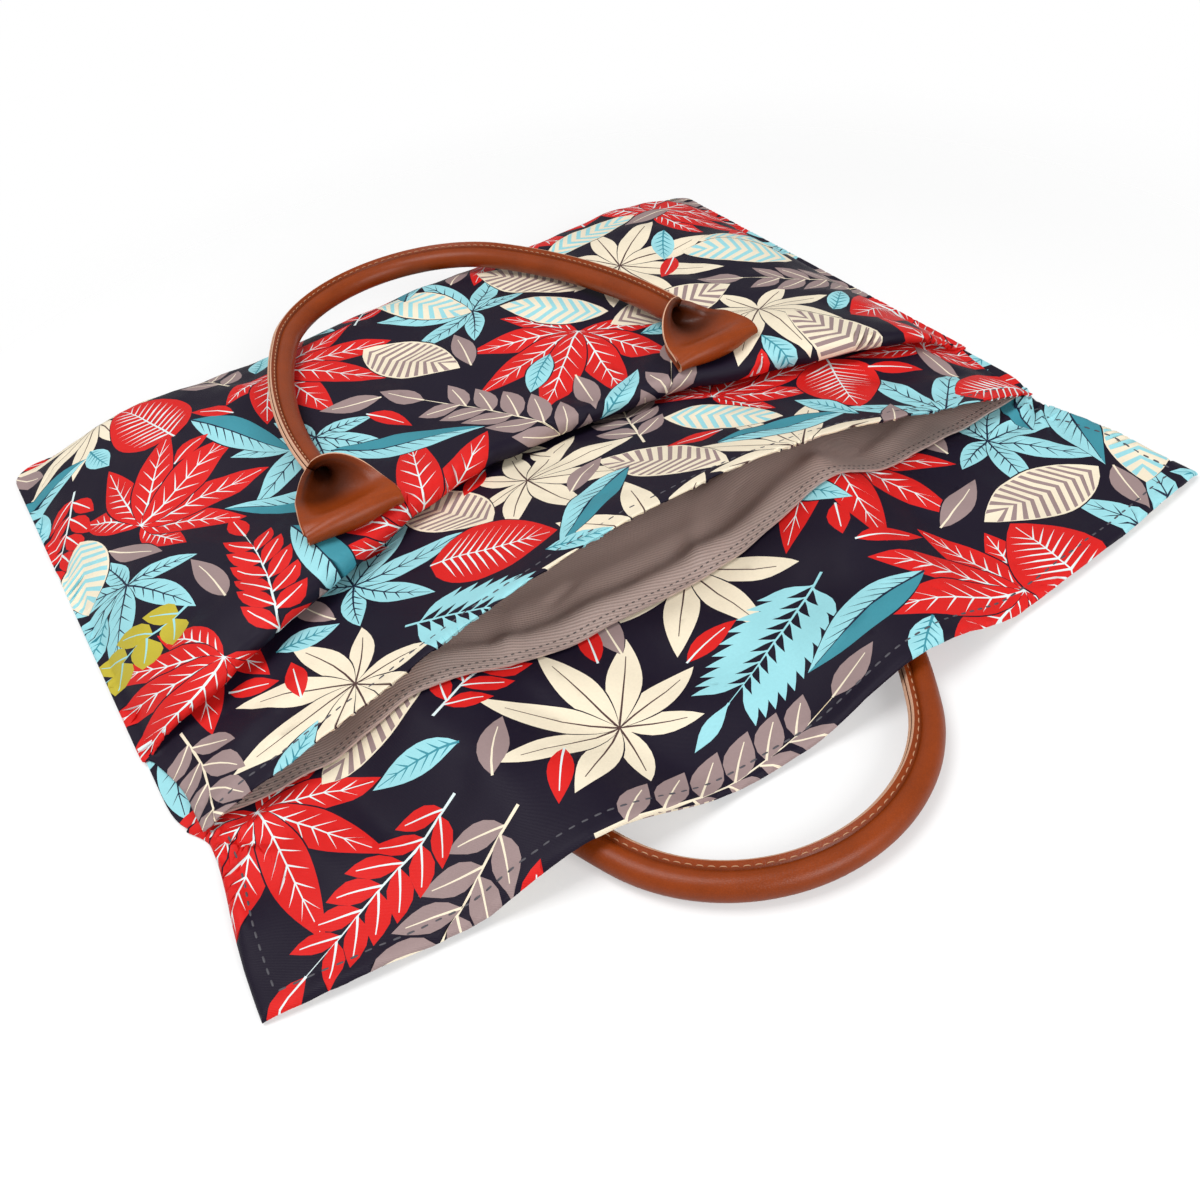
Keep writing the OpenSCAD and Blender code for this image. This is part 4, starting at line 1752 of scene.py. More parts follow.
TOPSTITCH = Stitching()
LINING_STITCH = Stitching(2.9, 2.0, 0.55)
TAB_STITCH = Stitching(3.6, 2.6, 0.55)
FIN_STITCH = Stitching(3.6, 2.6, 0.55, 0.0)


def line_on(place: PlaceFunction, pattern: Array) -> tuple[Array, Array]:
    """Points and normals of a surface along a line of pattern places.

    Args:
        place: Gives points for pattern places.
        pattern: Pattern places along the line.

    Returns:
        Points and unit normals.
    """
    ahead, beside = np.array([0.0, 0.5]), np.array([0.5, 0.0])
    across = place(pattern + beside) - place(pattern - beside)
    along = place(pattern + ahead) - place(pattern - ahead)
    return place(pattern), unit_rows(np.cross(across, along))


@dataclass
class Front:
    """The printed front panel with its padding and lining, in millimetres."""

    wardrobe: Wardrobe
    form: FrontForm = FrontForm()
    thick: float = 1.2
    spacing: float = 4.0
    print_seed: int = 7
    columns: int = 134
    rows: int = 104
    gather_r: float = 34.0  # radius of the fine mesh at the mouth corners
    gather_in: float = 4.0  # distance of its middle from the mouth edge
    padding_depth: float = 1.9
    padding_thick: float = 1.6
    padding_start: float = 160.0  # length from the mouth edge
    lining_depth: float = 3.9
    lining_thick: float = 0.7
    lining_start: float = 10.0
    inner_margin: float = 15.0  # of the inner layers from the side seams
    inner_end: float = 24.0  # of the inner layers from the bottom seam
    inner_tuck: float = 6.0  # how much deeper the fold lies in the inner layers
    inner_edge_r: float = 0.5
    padding_cells: int = 60
    lining_cells: int = 96
    stitch_points: int = 400
    tree: BVHTree = field(init=False)  # the finished panel, for measuring its height

    def build(self) -> None:
        """Makes the panel, its stitches, its padding and its lining."""
        self.make_panel()
        self.make_stitches()
        self.make_padding()
        self.make_lining()

    def make_panel(self) -> None:
        """The outer cloth, cut along its print."""
        half, length = self.form.half_w, self.form.length
        along = np.linspace(0, length, self.rows)
        outline = closed_outline(np.linspace(-half, half, self.columns), 0.0, length, along, along[::-1])
        outline = rounded_off(outline, half, length, self.form.corner_r)
        patches = LeafPrint(self.print_seed, np.array([-half, 0.0]), np.array([half, length])).lay_out()
        corners = [disc_points(side * half, self.gather_in, self.gather_r) for side in SIDES]
        cloth = cut_cloth(outline, patches, self.spacing, [self.form.fold_points(), *corners])
        made = closed_sheet("front_cloth", cloth, self.form.place, self.thick)
        dress(made, Body.BAG, Slot.CLOTH, self.wardrobe.printed, node="front_panel")
        self.tree = BVHTree.FromPolygons([v.co for v in made.data.vertices],
                                         [list(p.vertices) for p in made.data.polygons])

    def make_stitches(self) -> None:
        """The row of topstitches along the mouth edge."""
        end_gap = 8
        end = self.form.half_w - end_gap
        across = np.linspace(-end, end, self.stitch_points)
        line = line_on(self.form.place, rows_of(across, self.form.stitch_in))
        dress(TOPSTITCH.row("mouth_topstitch", [line]), Body.BAG, Slot.CLOTH, self.wardrobe.dark_thread)

    def layer(self, name: str, start: float, depth: float, thick: float, cells: int) -> Object:
        """A plain layer under the outer cloth, up to near the bottom seam.

        Args:
            name: Name of the piece.
            start: Length from the mouth edge at which it starts.
            depth: Depth under the outer cloth.
            thick: Its thickness.
            cells: Points each way.

        Returns:
            The piece.
        """
        form = FrontForm(depth=depth, edge_r=self.inner_edge_r, tuck=self.form.tuck + self.inner_tuck,
                         overhang=0.0)
        half, end = form.half_w - self.inner_margin, self.form.length - self.inner_end
        cloth = grid_cloth(np.linspace(-half, half, cells), np.linspace(start, end, cells))
        return closed_sheet(name, cloth, form.place, thick)

    def make_padding(self) -> None:
        """The soft layer behind the outer cloth, from the fold to the bottom."""
        made = self.layer("front_wadding", self.padding_start, self.padding_depth, self.padding_thick,
                          self.padding_cells)
        dress(made, Body.BAG, Slot.PADDING, self.wardrobe.wadding, node="front_padding")

    def make_lining(self) -> None:
        """The lining, which starts behind the mouth's hem."""
        made = self.layer("front_lining_cloth", self.lining_start, self.lining_depth, self.lining_thick,
                          self.lining_cells)
        dress(made, Body.BAG, Slot.LINING, self.wardrobe.lining, node="front_lining")
        width, length = 2 * (self.form.half_w - self.inner_margin), self.form.length - self.inner_end

    def height(self, x: float, y: float) -> float:
        """Height of the finished panel over a plan point."""
        above, down = 0.2, Vector((0, 0, -1))
        return self.tree.ray_cast(Vector((x * MM, y * MM, above)), down)[0].z / MM


@dataclass
class Back:
    """The printed back panel, its padding and lining, and the printed facing of its flap, in millimetres."""

    wardrobe: Wardrobe
    form: BackForm = BackForm()
    thick: float = 1.1
    spacing: float = 4.2
    seam_in: float = 1.4  # how much smaller than the bag the outer cloth is
    print_seed: int = 19
    print_density: float = 1.3
    columns: int = 122
    rows: int = 112
    soft: float = 0.5  # share of the unevenness that the outer cloth has
    facing_height: float = 2.3
    facing_thick: float = 0.8
    facing_spacing: float = 2.9
    facing_seed: int = 43
    facing_columns: int = 134
    facing_rows: int = 34
    facing_edge_r: float = 1.9
    gather_r: float = 44.0  # radius of the fine mesh at the ends of the side seams
    padding_height: float = 2.9
    padding_thick: float = 1.6
    padding_in: float = 9.0  # from the lining's first edge to the padding's
    padding_cells: int = 60
    lining_height: float = 4.3
    lining_thick: float = 0.8
    lining_l: float = 262.0
    lining_cells: int = 140
    row_power: float = 1.5  # above 1 the rows of the inner layers lie closer near the mouth
    inner_margin: float = 15.0  # of the inner layers from the side seams
    inner_end: float = 28.0  # of the inner layers from the bottom seam
    seam_mid: float = -99.0  # place of the seam between facing and lining
    seam_side: float = -89.0
    seam_overlap: float = 3.0  # how far the lining reaches past that seam
    tab_ground: float = 0.35  # floor below the sewn ends of the back handle
    folds: tuple[Crease, ...] = (
        Crease((-140, -82), (116, -84), 6, 6.2, -8), Crease((-96, -66), (70, -68), 7, 7.5, -6),
        Crease((-30, -54), (150, -60), 8, 6.5, -5), Crease((-166, -80), (-96, -52), 6, 3.6, 4),
        Crease((96, -88), (160, -66), 5, 3.8, -3), Crease((-70, -99), (-42, -62), 4, 3.0, 4),
        Crease((14, -99), (44, -58), 4, 3.2, 4), Crease((70, -96), (98, -60), 5, 3.4, -3),
        Crease((-46, -77), (-24, -71), 3, -5.2), Crease((44, -78), (60, -73), 3, -5.2),
        Crease((-118, -74), (-100, -70), 3, -4.2), Crease((100, -76), (112, -72), 3, -4.0),
    )

    @property
    def facing(self) -> BackForm:
        """Shape of the flap's facing."""
        return BackForm(height=self.facing_height, edge_r=self.facing_edge_r)

    @property
    def lining(self) -> BackForm:
        """Shape of the lining."""
        return BackForm(height=self.lining_height, creases=self.folds, rounded=False, pinch=0.0)

    def seam(self, x: Array) -> Array:
        """Place of the seam between facing and lining."""
        return mix(self.seam_mid, self.seam_side, (x / self.form.half_w) ** 2)

    def ground(self, x: float, y: float) -> float:
        """Height of the floor below the sewn ends of the back handle, the same everywhere."""
        return self.tab_ground

    def build(self) -> None:
        """Makes the panel, the facing, the padding, the lining and their stitches."""
        self.make_panel()
        self.make_facing()
        self.make_padding()
        self.make_lining()
        self.make_stitches()

    def outline(self, across: Array, end: Array, rows: int) -> Array:
        """Outline from the flap's free edge to an end line, with so many rows of points along each side."""
        edge, share = self.form.flap_edge(across), np.linspace(0, 1, rows)
        return closed_outline(across, edge, end, mix(edge[-1], end[-1], share), mix(end[0], edge[0], share))

    def make_panel(self) -> None:
        """The outer cloth, whose print shows underneath."""
        form = BackForm(height=self.thick, soft=self.soft, face_up=False)
        across = np.linspace(-form.half_w, form.half_w, self.columns)
        outline = self.outline(across, np.full_like(across, form.bottom_y), self.rows)
        outline = outline * np.array([1.0 - self.seam_in / form.half_w, 1.0 - self.seam_in / form.bottom_y])
        low, high = outline.min(axis=0), outline.max(axis=0)
        outline = rounded_off(outline, high[0], high[1], form.corner_r)
        patches = LeafPrint(self.print_seed, low, high, self.print_density).lay_out()
        made = closed_sheet("back_cloth", cut_cloth(outline, patches, self.spacing), form.place, self.thick)
        dress(made, Body.BAG, Slot.CLOTH, self.wardrobe.printed, node="back_panel")

    def make_facing(self) -> None:
        """The printed inner side of the flap, up to the lining's seam."""
        form = self.facing
        across = np.linspace(-form.half_w, form.half_w, self.facing_columns)
        outline = self.outline(across, self.seam(across), self.facing_rows)
        low, high = outline.min(axis=0), outline.max(axis=0)
        patches = LeafPrint(self.facing_seed, low, high).lay_out()
        seam_end = -form.mouth_y - form.seam_past
        corners = [disc_points(side * form.half_w, seam_end, self.gather_r) for side in SIDES]
        cloth = cut_cloth(outline, patches, self.facing_spacing, corners)
        made = closed_sheet("flap_facing_cloth", cloth, form.place, self.facing_thick)
        dress(made, Body.BAG, Slot.CLOTH, self.wardrobe.printed, node="flap_facing")

    def layer(self, name: str, form: BackForm, thick: float, inset: float, cells: int) -> Object:
        """A plain layer inside the bag, from the facing's seam to near the bottom.

        Args:
            name: Name of the piece.
            form: Its shape.
            thick: Its thickness.
            inset: Distance of its first edge from the lining's.
            cells: Points each way.

        Returns:
            The piece.
        """
        half = form.half_w - self.inner_margin
        cloth = grid_cloth(np.linspace(-half, half, cells), np.linspace(0, 1, cells))
        x, share = cloth.pattern.T
        start = self.seam(x) - self.seam_overlap + inset
        y = mix(start, form.bottom_y - self.inner_end, share**self.row_power)
        return closed_sheet(name, replace(cloth, pattern=rows_of(x, y)), form.place, thick)

    def make_padding(self) -> None:
        """The soft layer over the outer cloth."""
        form = BackForm(height=self.padding_height, rounded=False, pinch=0.0)
        made = self.layer("back_wadding", form, self.padding_thick, self.padding_in, self.padding_cells)
        dress(made, Body.BAG, Slot.PADDING, self.wardrobe.wadding, node="back_padding")

    def make_lining(self) -> None:
        """The wrinkled lining that shows in the mouth."""
        made = self.layer("back_lining_cloth", self.lining, self.lining_thick, 0.0, self.lining_cells)
        dress(made, Body.BAG, Slot.LINING, self.wardrobe.lining, node="back_lining")

    def make_stitches(self) -> None:
        """Topstitches round the flap's free edges, and the two rows along the lining's seam."""
        inset, seam_gap, end_gap, seam_rows = self.form.stitch_in, 8.0, 22, (-1.4, 1.2)
        half = self.form.half_w - inset
        across = np.linspace(-half, half, 400)
        y = np.linspace(self.form.corner_y + inset, self.seam_side - seam_gap, 80)
        edge = rows_of(across, self.form.flap_edge(across) + inset)
        lines = [edge, *(rows_of(side * half, y) for side in SIDES)]
        made = TOPSTITCH.row("flap_topstitch", [line_on(self.facing.place, line) for line in lines])
        dress(made, Body.BAG, Slot.CLOTH, self.wardrobe.dark_thread)
        end = self.form.half_w - end_gap
        inner = np.linspace(-end, end, 400)
        lines = [line_on(self.lining.place, rows_of(inner, self.seam(inner) + off)) for off in seam_rows]
        made = LINING_STITCH.row("lining_seam_stitch", lines)
        dress(made, Body.BAG, Slot.LINING, self.wardrobe.taupe_thread)


@dataclass(frozen=True)
class Station:
    """One place along a handle's strip."""

    place: Array  # in plan, in the handle's own frame
    heading: float  # in radians
    roll: float  # from 0 for the flat strip to 1 for the tube
    tilt: float  # share of the fin's tilt


@dataclass(frozen=True)
class PaintedShade:
    """Painted shade on a strip's leather: darker in its open throats, in the fold beside the fin and on the
    tube, against which the open ends stand lighter as a painted highlight.
    """

    # painted shade in the open throats, which deepen as the cups roll up
    throat_start: float = 0.13  # roll at which the throat starts to darken
    throat_l: float = 0.3
    throat_dark: float = 0.82
    throat_side: float = 0.55
    # tone of the closed tube, kept below that of the open ends so that their lips stand lighter: a painted
    # highlight
    tube: float = 0.86
    # painted shade in the fold beside the fin's seam
    seam_at: float = 0.8
    seam_w: float = 0.05
    seam_dark: float = 0.4

    def tone(self, roll: float, across: Array) -> Array:
        """Tone of the points of one section, which paints shade and a highlight.

        Args:
            roll: Roll of the section.
            across: Places from -1 to 1 across the strip, those of the inner face first.

        Returns:
            Tone of each point, from 0 for the deepest painted shade to 1.
        """
        inner = np.arange(len(across)) < len(across) // 2
        throat = inner * float(ease(np.array((roll - self.throat_start) / self.throat_l)))
        throat = throat * (1.0 - self.throat_side * across**2)
        seam = bell((np.abs(across) - self.seam_at) / self.seam_w) * roll
        return np.clip(mix(1.0, self.tube, roll) - self.throat_dark * throat - self.seam_dark * seam, 0, 1)


@dataclass
class Strap:
    """A handle: one strip of leather, rolled round a cord along its arch and open at both ends.

    Lengths are in millimetres.
    """

    wardrobe: Wardrobe
    name: str
    body: Body
    hinge: tuple[float, float]  # place of the line about which the leather bends
    turn: float = 0.0  # of the arch in plan, in degrees
    shift: float = 0.0  # of the arch sideways
    tilt: float = 40.0  # of the fin about the tube, in degrees
    press: float = 1.0  # share to which the open ends are pressed flat
    lean: float = 0.0  # of the whole handle about its hinge line, in degrees
    mirrored: bool = False  # whether it points out of the mouth
    cupped: bool = False  # whether the open ends stand up as cups with a rolled lip
    strip_w: float = 42.0  # where the strip lies open
    plan: HandlePlan = HandlePlan()
    # painted shade in the throats, in the fold beside the fin and on the tube
    painted_shade: PaintedShade = PaintedShade()
    tube_r: float = 5.0
    leather: float = 1.4
    fin_h: float = 3.4
    ring_share: float = 0.92  # leather in half the tube, in half turns
    ring_turn: float = 0.93  # heading gained in half the tube, in half turns
    edge_round: float = 0.3  # how far the raw edges stand out in their middle
    hinge_gap: float = 1.3  # from the hinge line to the open strip's edge
    lip_rise: float = 5.0
    lip_start: float = 2.0  # distance from the hinge line from which the lip falls
    lip_l: float = 7.5
    side_drop: float = 2.8  # how much lower the lip is at its sides
    side_l: float = 9.0
    cord_gap: float = 0.6
    ring_steps: int = 12
    fin_steps: int = 4
    flank_steps: int = 19
    crown_steps: int = 55
    flare_steps: int = 25

    @property
    def mid_r(self) -> float:
        """Radius of the leather's middle layer in the tube."""
        return self.tube_r - self.leather / 2

    @property
    def ring_l(self) -> float:
        """Length of the leather's middle layer in half the tube."""
        return self.ring_share * math.pi * self.mid_r

    def half_section(self, roll: float) -> tuple[Array, Array]:
        """Middle line of half the strip's section.

        Args:
            roll: From 0 for the flat strip to 1 for the tube.

        Returns:
            The line's points, and the heading at each of them.
        """
        step = roll * self.ring_turn * math.pi / self.ring_steps
        turns = [step * (k + 0.5) for k in range(self.ring_steps)]
        headings = np.array(turns + [roll * math.pi / 2] * self.fin_steps)
        lengths = np.repeat([self.ring_l / self.ring_steps, self.fin_h / self.fin_steps],
                            [self.ring_steps, self.fin_steps])
        steps = np.column_stack([lengths * np.cos(headings), lengths * np.sin(headings)])
        points = np.concatenate([[[0.0, 0.0]], np.cumsum(steps, axis=0)])
        before = np.concatenate([[-headings[0]], headings])
        after = np.concatenate([headings, [headings[-1]]])
        return points, (before + after) / 2

    def section(self, roll: float, tilt: float, press: float) -> tuple[Array, Array]:
        """Closed outline of the strip's section, and how far each point lies along the strip's width.

        Args:
            roll: From 0 for the flat strip to 1 for the tube.
            tilt: Share of the fin's tilt.
            press: Share to which the section is pressed flat.

        Returns:
            Outline points, and places from -1 to 1 across the strip.
        """
        middle, heading = self.half_section(roll)
        flat = 2 * (self.ring_l + self.fin_h)
        middle = middle * np.array([mix(self.strip_w / flat, 1.0, roll), press])
        off = np.column_stack([-np.sin(heading), np.cos(heading)]) * (self.leather / 2)
        share = np.linspace(0, 1, len(middle))
        upper, lower = middle + off, middle - off
        tip = middle[-1] + np.array([math.cos(heading[-1]), math.sin(heading[-1])]) * self.edge_round
        flip = np.array([-1.0, 1.0])
        loop = np.concatenate([(upper * flip)[:0:-1], upper, [tip],
                               lower[::-1], (lower * flip)[1:], [tip * flip]])
        across = np.concatenate([-share[:0:-1], share, [1.0], share[::-1], -share[1:], [-1.0]])
        centre = np.array([0.0, roll * self.mid_r])
        return turned(loop - centre, self.tilt * tilt) + centre, across

    def stations(self) -> list[Station]:
        """Finds the places along the strip.

        Returns:
            Stations from the left end to the right.
        """
        flank, turn = self.plan.flank_angle, math.radians(self.turn)
        headings = np.concatenate([np.linspace(0, flank, self.flank_steps)[:-1],
                                   np.linspace(flank, math.pi - flank, self.crown_steps),
                                   np.linspace(math.pi - flank, math.pi, self.flank_steps)[1:]])
        neck = np.array([self.shift, self.plan.flare_l])
        arch = [Station(turned(self.plan.at(b)[None, :], self.turn)[0] + neck, b - turn, 1.0, 1.0)
                for b in headings]
        return self.flare(-1) + arch + self.flare(1)[::-1]

    def flare(self, side: int) -> list[Station]:
        """Stations of one open end, from the hinge line to the neck.

        Args:
            side: -1 for the left end and 1 for the right.

        Returns:
            The stations, on a curve that leaves the hinge line squarely.
        """
        plan, turn = self.plan, math.radians(self.turn)
        leg = side * plan.leg_x
        end = turned(np.array([[leg, 0.0]]), self.turn)[0] + np.array([self.shift, plan.flare_l])
        third = end - np.array([math.sin(-turn), math.cos(-turn)]) * plan.flare_l / 3
        first, second = np.array([leg, self.hinge_gap]), np.array([leg, plan.flare_l / 3])
        cup_early, cup_late, cup_power, strip_power, tilt_power = 0.58, 0.42, 8, 1.6, 3
        found = []
        for t in np.linspace(0, 1, self.flare_steps)[:-1]:
            rest = 1 - t
            place = first * rest**3 + second * 3 * t * rest**2 + third * 3 * t * t * rest + end * t**3
            soft = float(ease(np.array(t)))
            roll = cup_early * t + cup_late * t**cup_power if self.cupped else soft**strip_power
            heading = (0.0 if side < 0 else math.pi) - turn * soft
            found.append(Station(place, heading, roll, soft**tilt_power))
        return found

    def lip(self, distance: float, off: Array) -> Array:
        """Rise of the rolled lip of a cupped end over its flat level.

        Args:
            distance: Distance from the hinge line.
            off: Distances from the strip's middle.

        Returns:
            The rise at each of those places.
        """
        if not self.cupped:
            return np.zeros_like(off)
        rise = self.lip_rise * math.exp(-((max(distance - self.lip_start, 0.0) / self.lip_l) ** 2))
        share = off / (self.strip_w / 2)
        return rise - self.side_drop * share**2 * math.exp(-((distance / self.side_l) ** 2))

    def to_frame(self, points: Array) -> Array:
        """Points of the handle's own frame moved to their place on the bag.

        Args:
            points: Points, one a row.

        Returns:
            The moved points.
        """
        across, along, up = points.T
        along = -along if self.mirrored else along
        c, s = math.cos(math.radians(-self.lean)), math.sin(math.radians(-self.lean))
        y, z = self.hinge
        return np.column_stack([across, along * c - up * s + y, along * s + up * c + z])

    def placed(self, station: Station, section: Array) -> Array:
        """A section's points placed at a station, in the handle's own frame.

        Args:
            station: The station.
            section: Points (off, up) of the section, one a row.

        Returns:
            Points in space, one a row.
        """
        x, y = station.place
        off, up = section.T
        return np.column_stack([x + off * math.cos(station.heading), y + off * -math.sin(station.heading),
                                up + self.lip(y, off)])

    def tube(self, name: str, rings: Sequence[Array], flip: bool, sharp: float) -> Object:
        """A tube through rings of the handle's own frame."""
        faces = tube_faces(len(rings), len(rings[0]), flip)
        return new_object(name, self.to_frame(np.concatenate(rings)), faces, sharp)

    def build(self) -> None:
        """Makes the strip, its stitches and its filler cord."""
        self.make_strip()
        self.make_stitches()
        self.make_cord()

    def make_strip(self) -> None:
        """The leather strip, swept along its stations."""
        rings, tones = [], []
        for station in self.stations():
            loop, across = self.section(station.roll, station.tilt, mix(self.press, 1.0, station.tilt**4))
            rings.append(self.placed(station, loop))
            # each section's tone paints shade into the throats and the fin's fold, and leaves the open ends
            # lighter as a painted highlight
            tones.append(self.painted_shade.tone(station.roll, across))
        made = self.tube(f"{self.name}_strap", rings, self.mirrored, 60.0)
        set_tone(made, np.concatenate(tones))
        count, edge = len(rings[0]), 2 * (self.ring_steps + self.fin_steps)
        raw = [int(i in (edge, edge + 1, count - 2, count - 1)) for i in range(count)]
        made.data.polygons.foreach_set("material_index", raw * (len(rings) - 1) + [0, 0])
        dress(made, self.body, Slot.LEATHER, *self.wardrobe.leather, node=f"{self.name}_handle")

    def make_stitches(self) -> None:
        """The two rows of stitches below the fin, one on each of its faces."""
        last, foot, closed = self.ring_steps + self.fin_steps, self.ring_steps + 2, 0.97
        stations = [station for station in self.stations() if station.roll >= closed]
        loops = [self.section(station.roll, station.tilt, 1.0)[0] for station in stations]
        middle = np.array([[0.0, self.mid_r]])
        centres = np.concatenate([self.placed(station, middle) for station in stations])
        lines = []
        for side in SIDES:
            k = 3 * last + 2 - side * foot
            points = np.concatenate([self.placed(station, loop[k:k + 1])
                                     for station, loop in zip(stations, loops)])
            start = self.to_frame(points)
            lines.append((start, unit_rows(self.to_frame(points + (points - centres)) - start)))
        made = FIN_STITCH.row(f"{self.name}_handle_stitch", lines)
        dress(made, self.body, Slot.LEATHER, self.wardrobe.tan_thread)

    def make_cord(self) -> None:
        """The twisted filler cord inside the tube."""
        lobes, lobe_h, twist, sides, ends = 3, 0.07, 0.35, 24, 4
        radius = self.mid_r - self.leather / 2 - self.cord_gap
        angle = np.linspace(0, math.tau, sides, endpoint=False)
        rings = []
        for j, station in enumerate([s for s in self.stations() if s.roll >= 1.0][ends:-ends]):
            wide = radius * (1.0 - lobe_h + lobe_h * np.cos(lobes * (angle - twist * j)))
            section = rows_of(wide * np.cos(angle), wide * np.sin(angle) + self.mid_r)
            rings.append(self.placed(station, section))
        made = self.tube(f"{self.name}_filler_cord", rings, not self.mirrored, 50.0)
        dress(made, self.body, Slot.CORD, self.wardrobe.cord, node=f"{self.name}_handle_core")


@dataclass
class Tab:
    """A sewn end of a handle with the bend of leather that joins it to the open strip."""

    name: str  # CAD tab that it replaces
    strap: Strap
    side: int  # -1 for the left end and 1 for the right
    ground: Callable[[float, float], float]  # height of the cloth below plan places
    sewn_below: bool = False  # whether the stitches show underneath
    length: float = 31.0
    narrow: float = 0.45  # share of the width lost along the length
    slack: float = 0.45
    edge_r: float = 0.5
    cup_in: float = 1.3  # from the hinge line to the first row, under a cup
    stitch_side: float = 0.84
    stitch_start: float = 0.06
    stitch_end: float = 0.88
    stitch_points: int = 40
    tone: float = 0.85
    cells: int = 26
    bend_tone: float = 0.95
    bend_thin: float = 0.2  # how much thinner the leather is in the bend
    bend_share: float = 0.985
    bend_cells: tuple[int, int] = (25, 15)

    def half(self, t: Array) -> Array:
        """Half width, rounded off at the end.

        Args:
            t: Shares of the length.

        Returns:
            Half width at each share.
        """
        blunt, blunt_power = 0.9, 6
        round_off = np.sqrt(np.clip(1.0 - blunt * t**blunt_power, 0.0, 1.0))
        return self.strap.strip_w / 2 * (1.0 - self.narrow * t) * round_off

    def place(self, pattern: Array) -> Array:
        """Upper face of the leather.

        Args:
            pattern: Places (share across, share along), one a row.

        Returns:
            Points in space, one a row.
        """
        u, t = pattern.T
        x = self.side * self.strap.plan.leg_x + self.half(t) * u
        y = self.strap.hinge[0] + (self.cup_in if self.strap.cupped else 0.0) + self.length * t
        rim = np.minimum((1.0 - np.abs(u)) * self.half(t), (1.0 - t) * self.length)
        base = np.array([self.ground(a, b) for a, b in zip(x, y)])
        return np.column_stack([x, y, base + self.slack + self.strap.leather - round_edge(rim, self.edge_r)])

    @staticmethod
    def leather_piece(name: str, cloth: CutCloth, place: PlaceFunction, thick: float, tone: float) -> Object:
        """A sheet of leather of one tone, whose rim has the number of the raw edges' material.

        Args:
            name: Name of the piece.
            cloth: The flat sheet.
            place: Gives the points of its upper face.
            thick: Its thickness.
            tone: Its tone.

        Returns:
            The piece.
        """
        made = closed_sheet(name, cloth, place, thick)
        set_tone(made, np.full(len(made.data.vertices), tone))
        faces = 2 * len(cloth.triangles)
        rim = len(made.data.polygons) - faces
        made.data.polygons.foreach_set("material_index", [0] * faces + [1] * rim)
        return made

    def build(self) -> None:
        """Makes the sewn end, its stitches and its bend."""
        self.make_end()
        self.make_stitches()
        self.make_bend()

    def make_end(self) -> None:
        """The sewn end itself."""
        across = np.sin(np.linspace(-math.pi / 2, math.pi / 2, self.cells))
        sheet = grid_cloth(across, np.sin(np.linspace(0, math.pi / 2, self.cells)))
        made = self.leather_piece(f"{self.name}_leather", sheet, self.place, self.strap.leather, self.tone)
        dress(made, Body.BAG, Slot.LEATHER, *self.strap.wardrobe.leather, node=self.name)

    def make_stitches(self) -> None:
        """A row of stitches inside the tab's three free edges."""
        side, count = self.stitch_side, self.stitch_points
        right = rows_of(side, np.linspace(self.stitch_start, self.stitch_end, count))
        end = rows_of(np.linspace(side, -side, count), self.stitch_end)
        path = np.concatenate([right, end[1:], (right * np.array([-1.0, 1.0]))[::-1][1:]])
        points, up = self.place(path), np.array([0.0, 0.0, 1.0])
        if self.sewn_below:
            points, up = points - up * self.strap.leather, -up
        made = TAB_STITCH.row(f"{self.name}_stitch", [(points, np.tile(up, (len(path), 1)))])
        dress(made, Body.BAG, Slot.LEATHER, self.strap.wardrobe.tan_thread)

    def make_bend(self) -> None:
        """The leather between the sewn end and the open strip."""
        strap, half, columns = self.strap, self.strap.leather / 2, self.bend_cells[0]
        station = strap.stations()[0 if self.side < 0 else -1]
        off = np.linspace(-self.bend_share, self.bend_share, columns)
        lower = self.place(rows_of(off, 0.0)) - np.array([0.0, 0.0, half])
        upper = strap.to_frame(strap.placed(station, rows_of(off * strap.strip_w / 2 * (-self.side), 0.0)))

        def place(pattern: Array) -> Array:
            """Outer face of the bend, a half round from the tab up to a cup, or flat to a pressed strip.

            Args:
                pattern: Places (column, share along), one a row.

            Returns:
                Points in space, one a row.
            """
            column, t = pattern[:, 0].astype(int), pattern[:, 1]
            points = mix(lower[column], upper[column], t[:, None])
            if strap.cupped:
                low, high = lower[column, 2], upper[column, 2]
                radius = (high - low) / 2 + half
                points[:, 1] -= radius * np.sin(math.pi * t)
                points[:, 2] = (low + high) / 2 - radius * np.cos(math.pi * t)
            else:
                points[:, 2] += half - self.bend_thin / 2
            return points

        sheet = grid_cloth(np.arange(float(columns)), np.linspace(0, 1, self.bend_cells[1]))
        thick = strap.leather - self.bend_thin
        made = self.leather_piece(f"{self.name}_bend", sheet, place, thick, self.bend_tone)
        for material in strap.wardrobe.leather:
            made.data.materials.append(material)
        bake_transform(made)
        LOG.info("%s: %d faces", made.name, len(made.data.polygons))


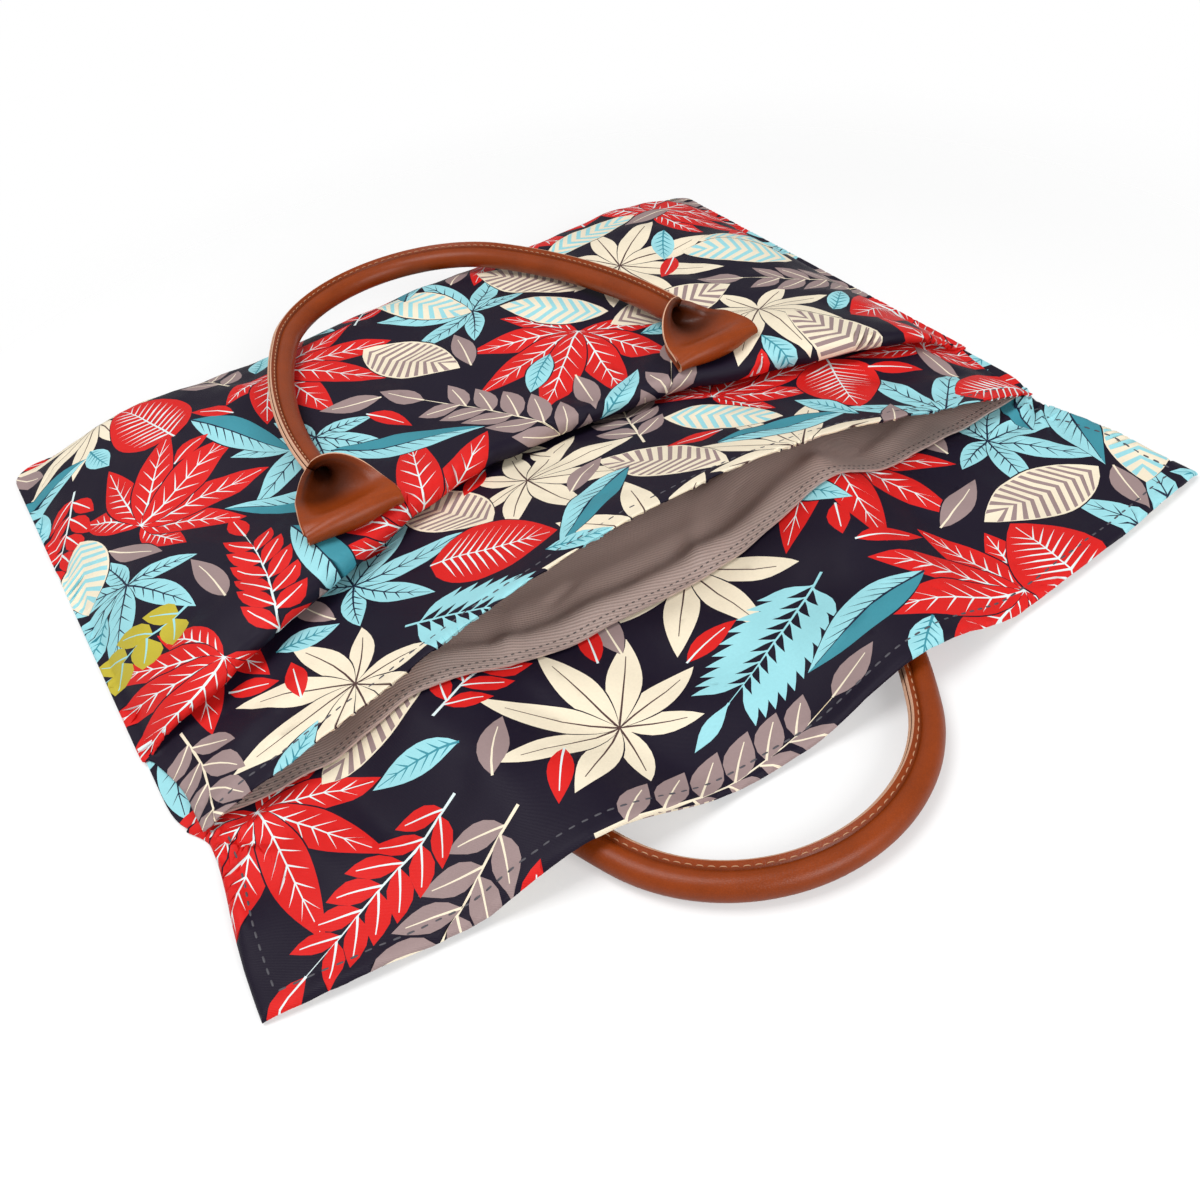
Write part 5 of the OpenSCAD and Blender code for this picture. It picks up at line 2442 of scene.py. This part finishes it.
@dataclass
class Studio:
    """Camera at the photograph's angle, pale floor and soft light."""

    azimuth: float = -24.1  # angles in degrees
    elevation: float = 41.65
    roll: float = -11.03
    lens: float = 38.32  # lengths of the camera in millimetres
    sensor: float = 36.0
    target: Triple = (-21.9, -81.31, 0.0)
    distance: float = 501.06
    floor_size: float = 4.0  # lengths of the floor in metres
    floor_level: float = -0.0004
    floor_fade: tuple[float, float] = (0.27, 0.46)  # where the floor starts and ends to fade
    floor_cover: float = 0.6
    room_light: float = 0.4
    lamp_size: float = 0.7
    lamp_aim: Triple = (0.0, -0.03, 0.02)

    def build(self) -> None:
        """Makes the camera, the floor, the world and the lamps."""
        self.make_camera()
        self.make_floor()
        self.make_room()
        self.make_lamp("key", (-0.4, 0.1, 1.2), 10.2)
        self.make_lamp("fill", (0.15, -1.3, 0.75), 10.6)

    def make_camera(self) -> None:
        """Camera fitted to the photograph."""
        a, e, r = (math.radians(v) for v in (self.azimuth, self.elevation, self.roll))
        back = Vector((math.sin(a) * math.cos(e), -math.cos(a) * math.cos(e), math.sin(e)))
        right = Vector((0, 0, 1)).cross(back).normalized()
        up = back.cross(right)
        right, up = right * math.cos(r) + up * math.sin(r), up * math.cos(r) - right * math.sin(r)
        data = bpy.data.cameras.new("photo_camera")
        data.lens, data.sensor_width, data.clip_start = self.lens, self.sensor, 0.01
        camera = link(bpy.data.objects.new("photo_camera", data))
        place = (Vector(self.target) + back * self.distance) * MM
        camera.matrix_world = Matrix.Translation(place) @ Matrix((right, up, back)).transposed().to_4x4()
        bpy.context.scene.camera = camera

    def make_floor(self) -> None:
        """A plain pale floor that shows white to the camera and still takes shadows."""
        size, mesh = self.floor_size, bpy.data.meshes.new("floor")
        corners = [(-size, -size), (size, -size), (size, size), (-size, size)]
        mesh.from_pydata([(x, y, self.floor_level) for x, y in corners], [], [(0, 1, 2, 3)])
        material, book, shader = new_material("pale_floor", 0.9)
        place = book.add("ShaderNodeNewGeometry").outputs["Position"]
        reach = book.feed(book.add("ShaderNodeVectorMath", operation="LENGTH"), in0=place).outputs["Value"]
        fade = book.add("ShaderNodeMapRange", interpolation_type="SMOOTHSTEP")
        book.feed(fade, Value=reach, From_Min=self.floor_fade[0], From_Max=self.floor_fade[1],
                  To_Min=self.floor_cover, To_Max=0.0)
        book.feed(shader, Base_Color=(0.93, 0.93, 0.93, 1.0), Specular_IOR_Level=0.1, Alpha=fade.outputs[0])
        mesh.materials.append(material)
        link(bpy.data.objects.new("floor", mesh))

    def make_room(self) -> None:
        """A white world, dimmer on the bag than for the camera."""
        world = bpy.data.worlds.new("white_room")
        world.use_nodes = True
        sky = next(node for node in world.node_tree.nodes if node.type == "BACKGROUND")
        book = NodeBook(world.node_tree)
        seen = book.add("ShaderNodeLightPath").outputs["Is Camera Ray"]
        book.feed(sky, Color=(1.0, 1.0, 1.0, 1.0), Strength=book.span(seen, self.room_light, 1.0))
        bpy.context.scene.world = world

    def make_lamp(self, name: str, place: Triple, power: float) -> None:
        """A square area lamp that faces the bag.

        Args:
            name: Name of the lamp.
            place: Its place in metres.
            power: Its power in watts.
        """
        data = bpy.data.lights.new(name, "AREA")
        data.size, data.energy = self.lamp_size, power
        made = link(bpy.data.objects.new(name, data))
        made.location = place
        made.rotation_euler = (Vector(self.lamp_aim) - Vector(place)).to_track_quat("-Z", "Y").to_euler()


def main() -> None:
    """Builds the studio, the bag's cloth and its handles."""
    logging.basicConfig(level=logging.INFO, format="%(message)s")
    bpy.context.scene.view_settings.view_transform = "Standard"
    Studio().build()
    wardrobe = Wardrobe()
    front, back = Front(wardrobe), Back(wardrobe)
    upper = Strap(wardrobe, "front", Body.FRONT, (-12.0, 34.556), lean=2.4, cupped=True)
    lower = Strap(wardrobe, "back", Body.BACK, (-45.0, 1.5), turn=6.0, shift=-13.0, tilt=-55.0, press=0.44,
                  mirrored=True)
    for assembly in (front, back, upper, lower):
        assembly.build()
    for side, word in zip(SIDES, ("left", "right")):
        Tab(f"front_{word}_tab", upper, side, front.height).build()
        Tab(f"back_{word}_tab", lower, side, back.ground, sewn_below=True).build()


if __name__ == "__main__":
    main()
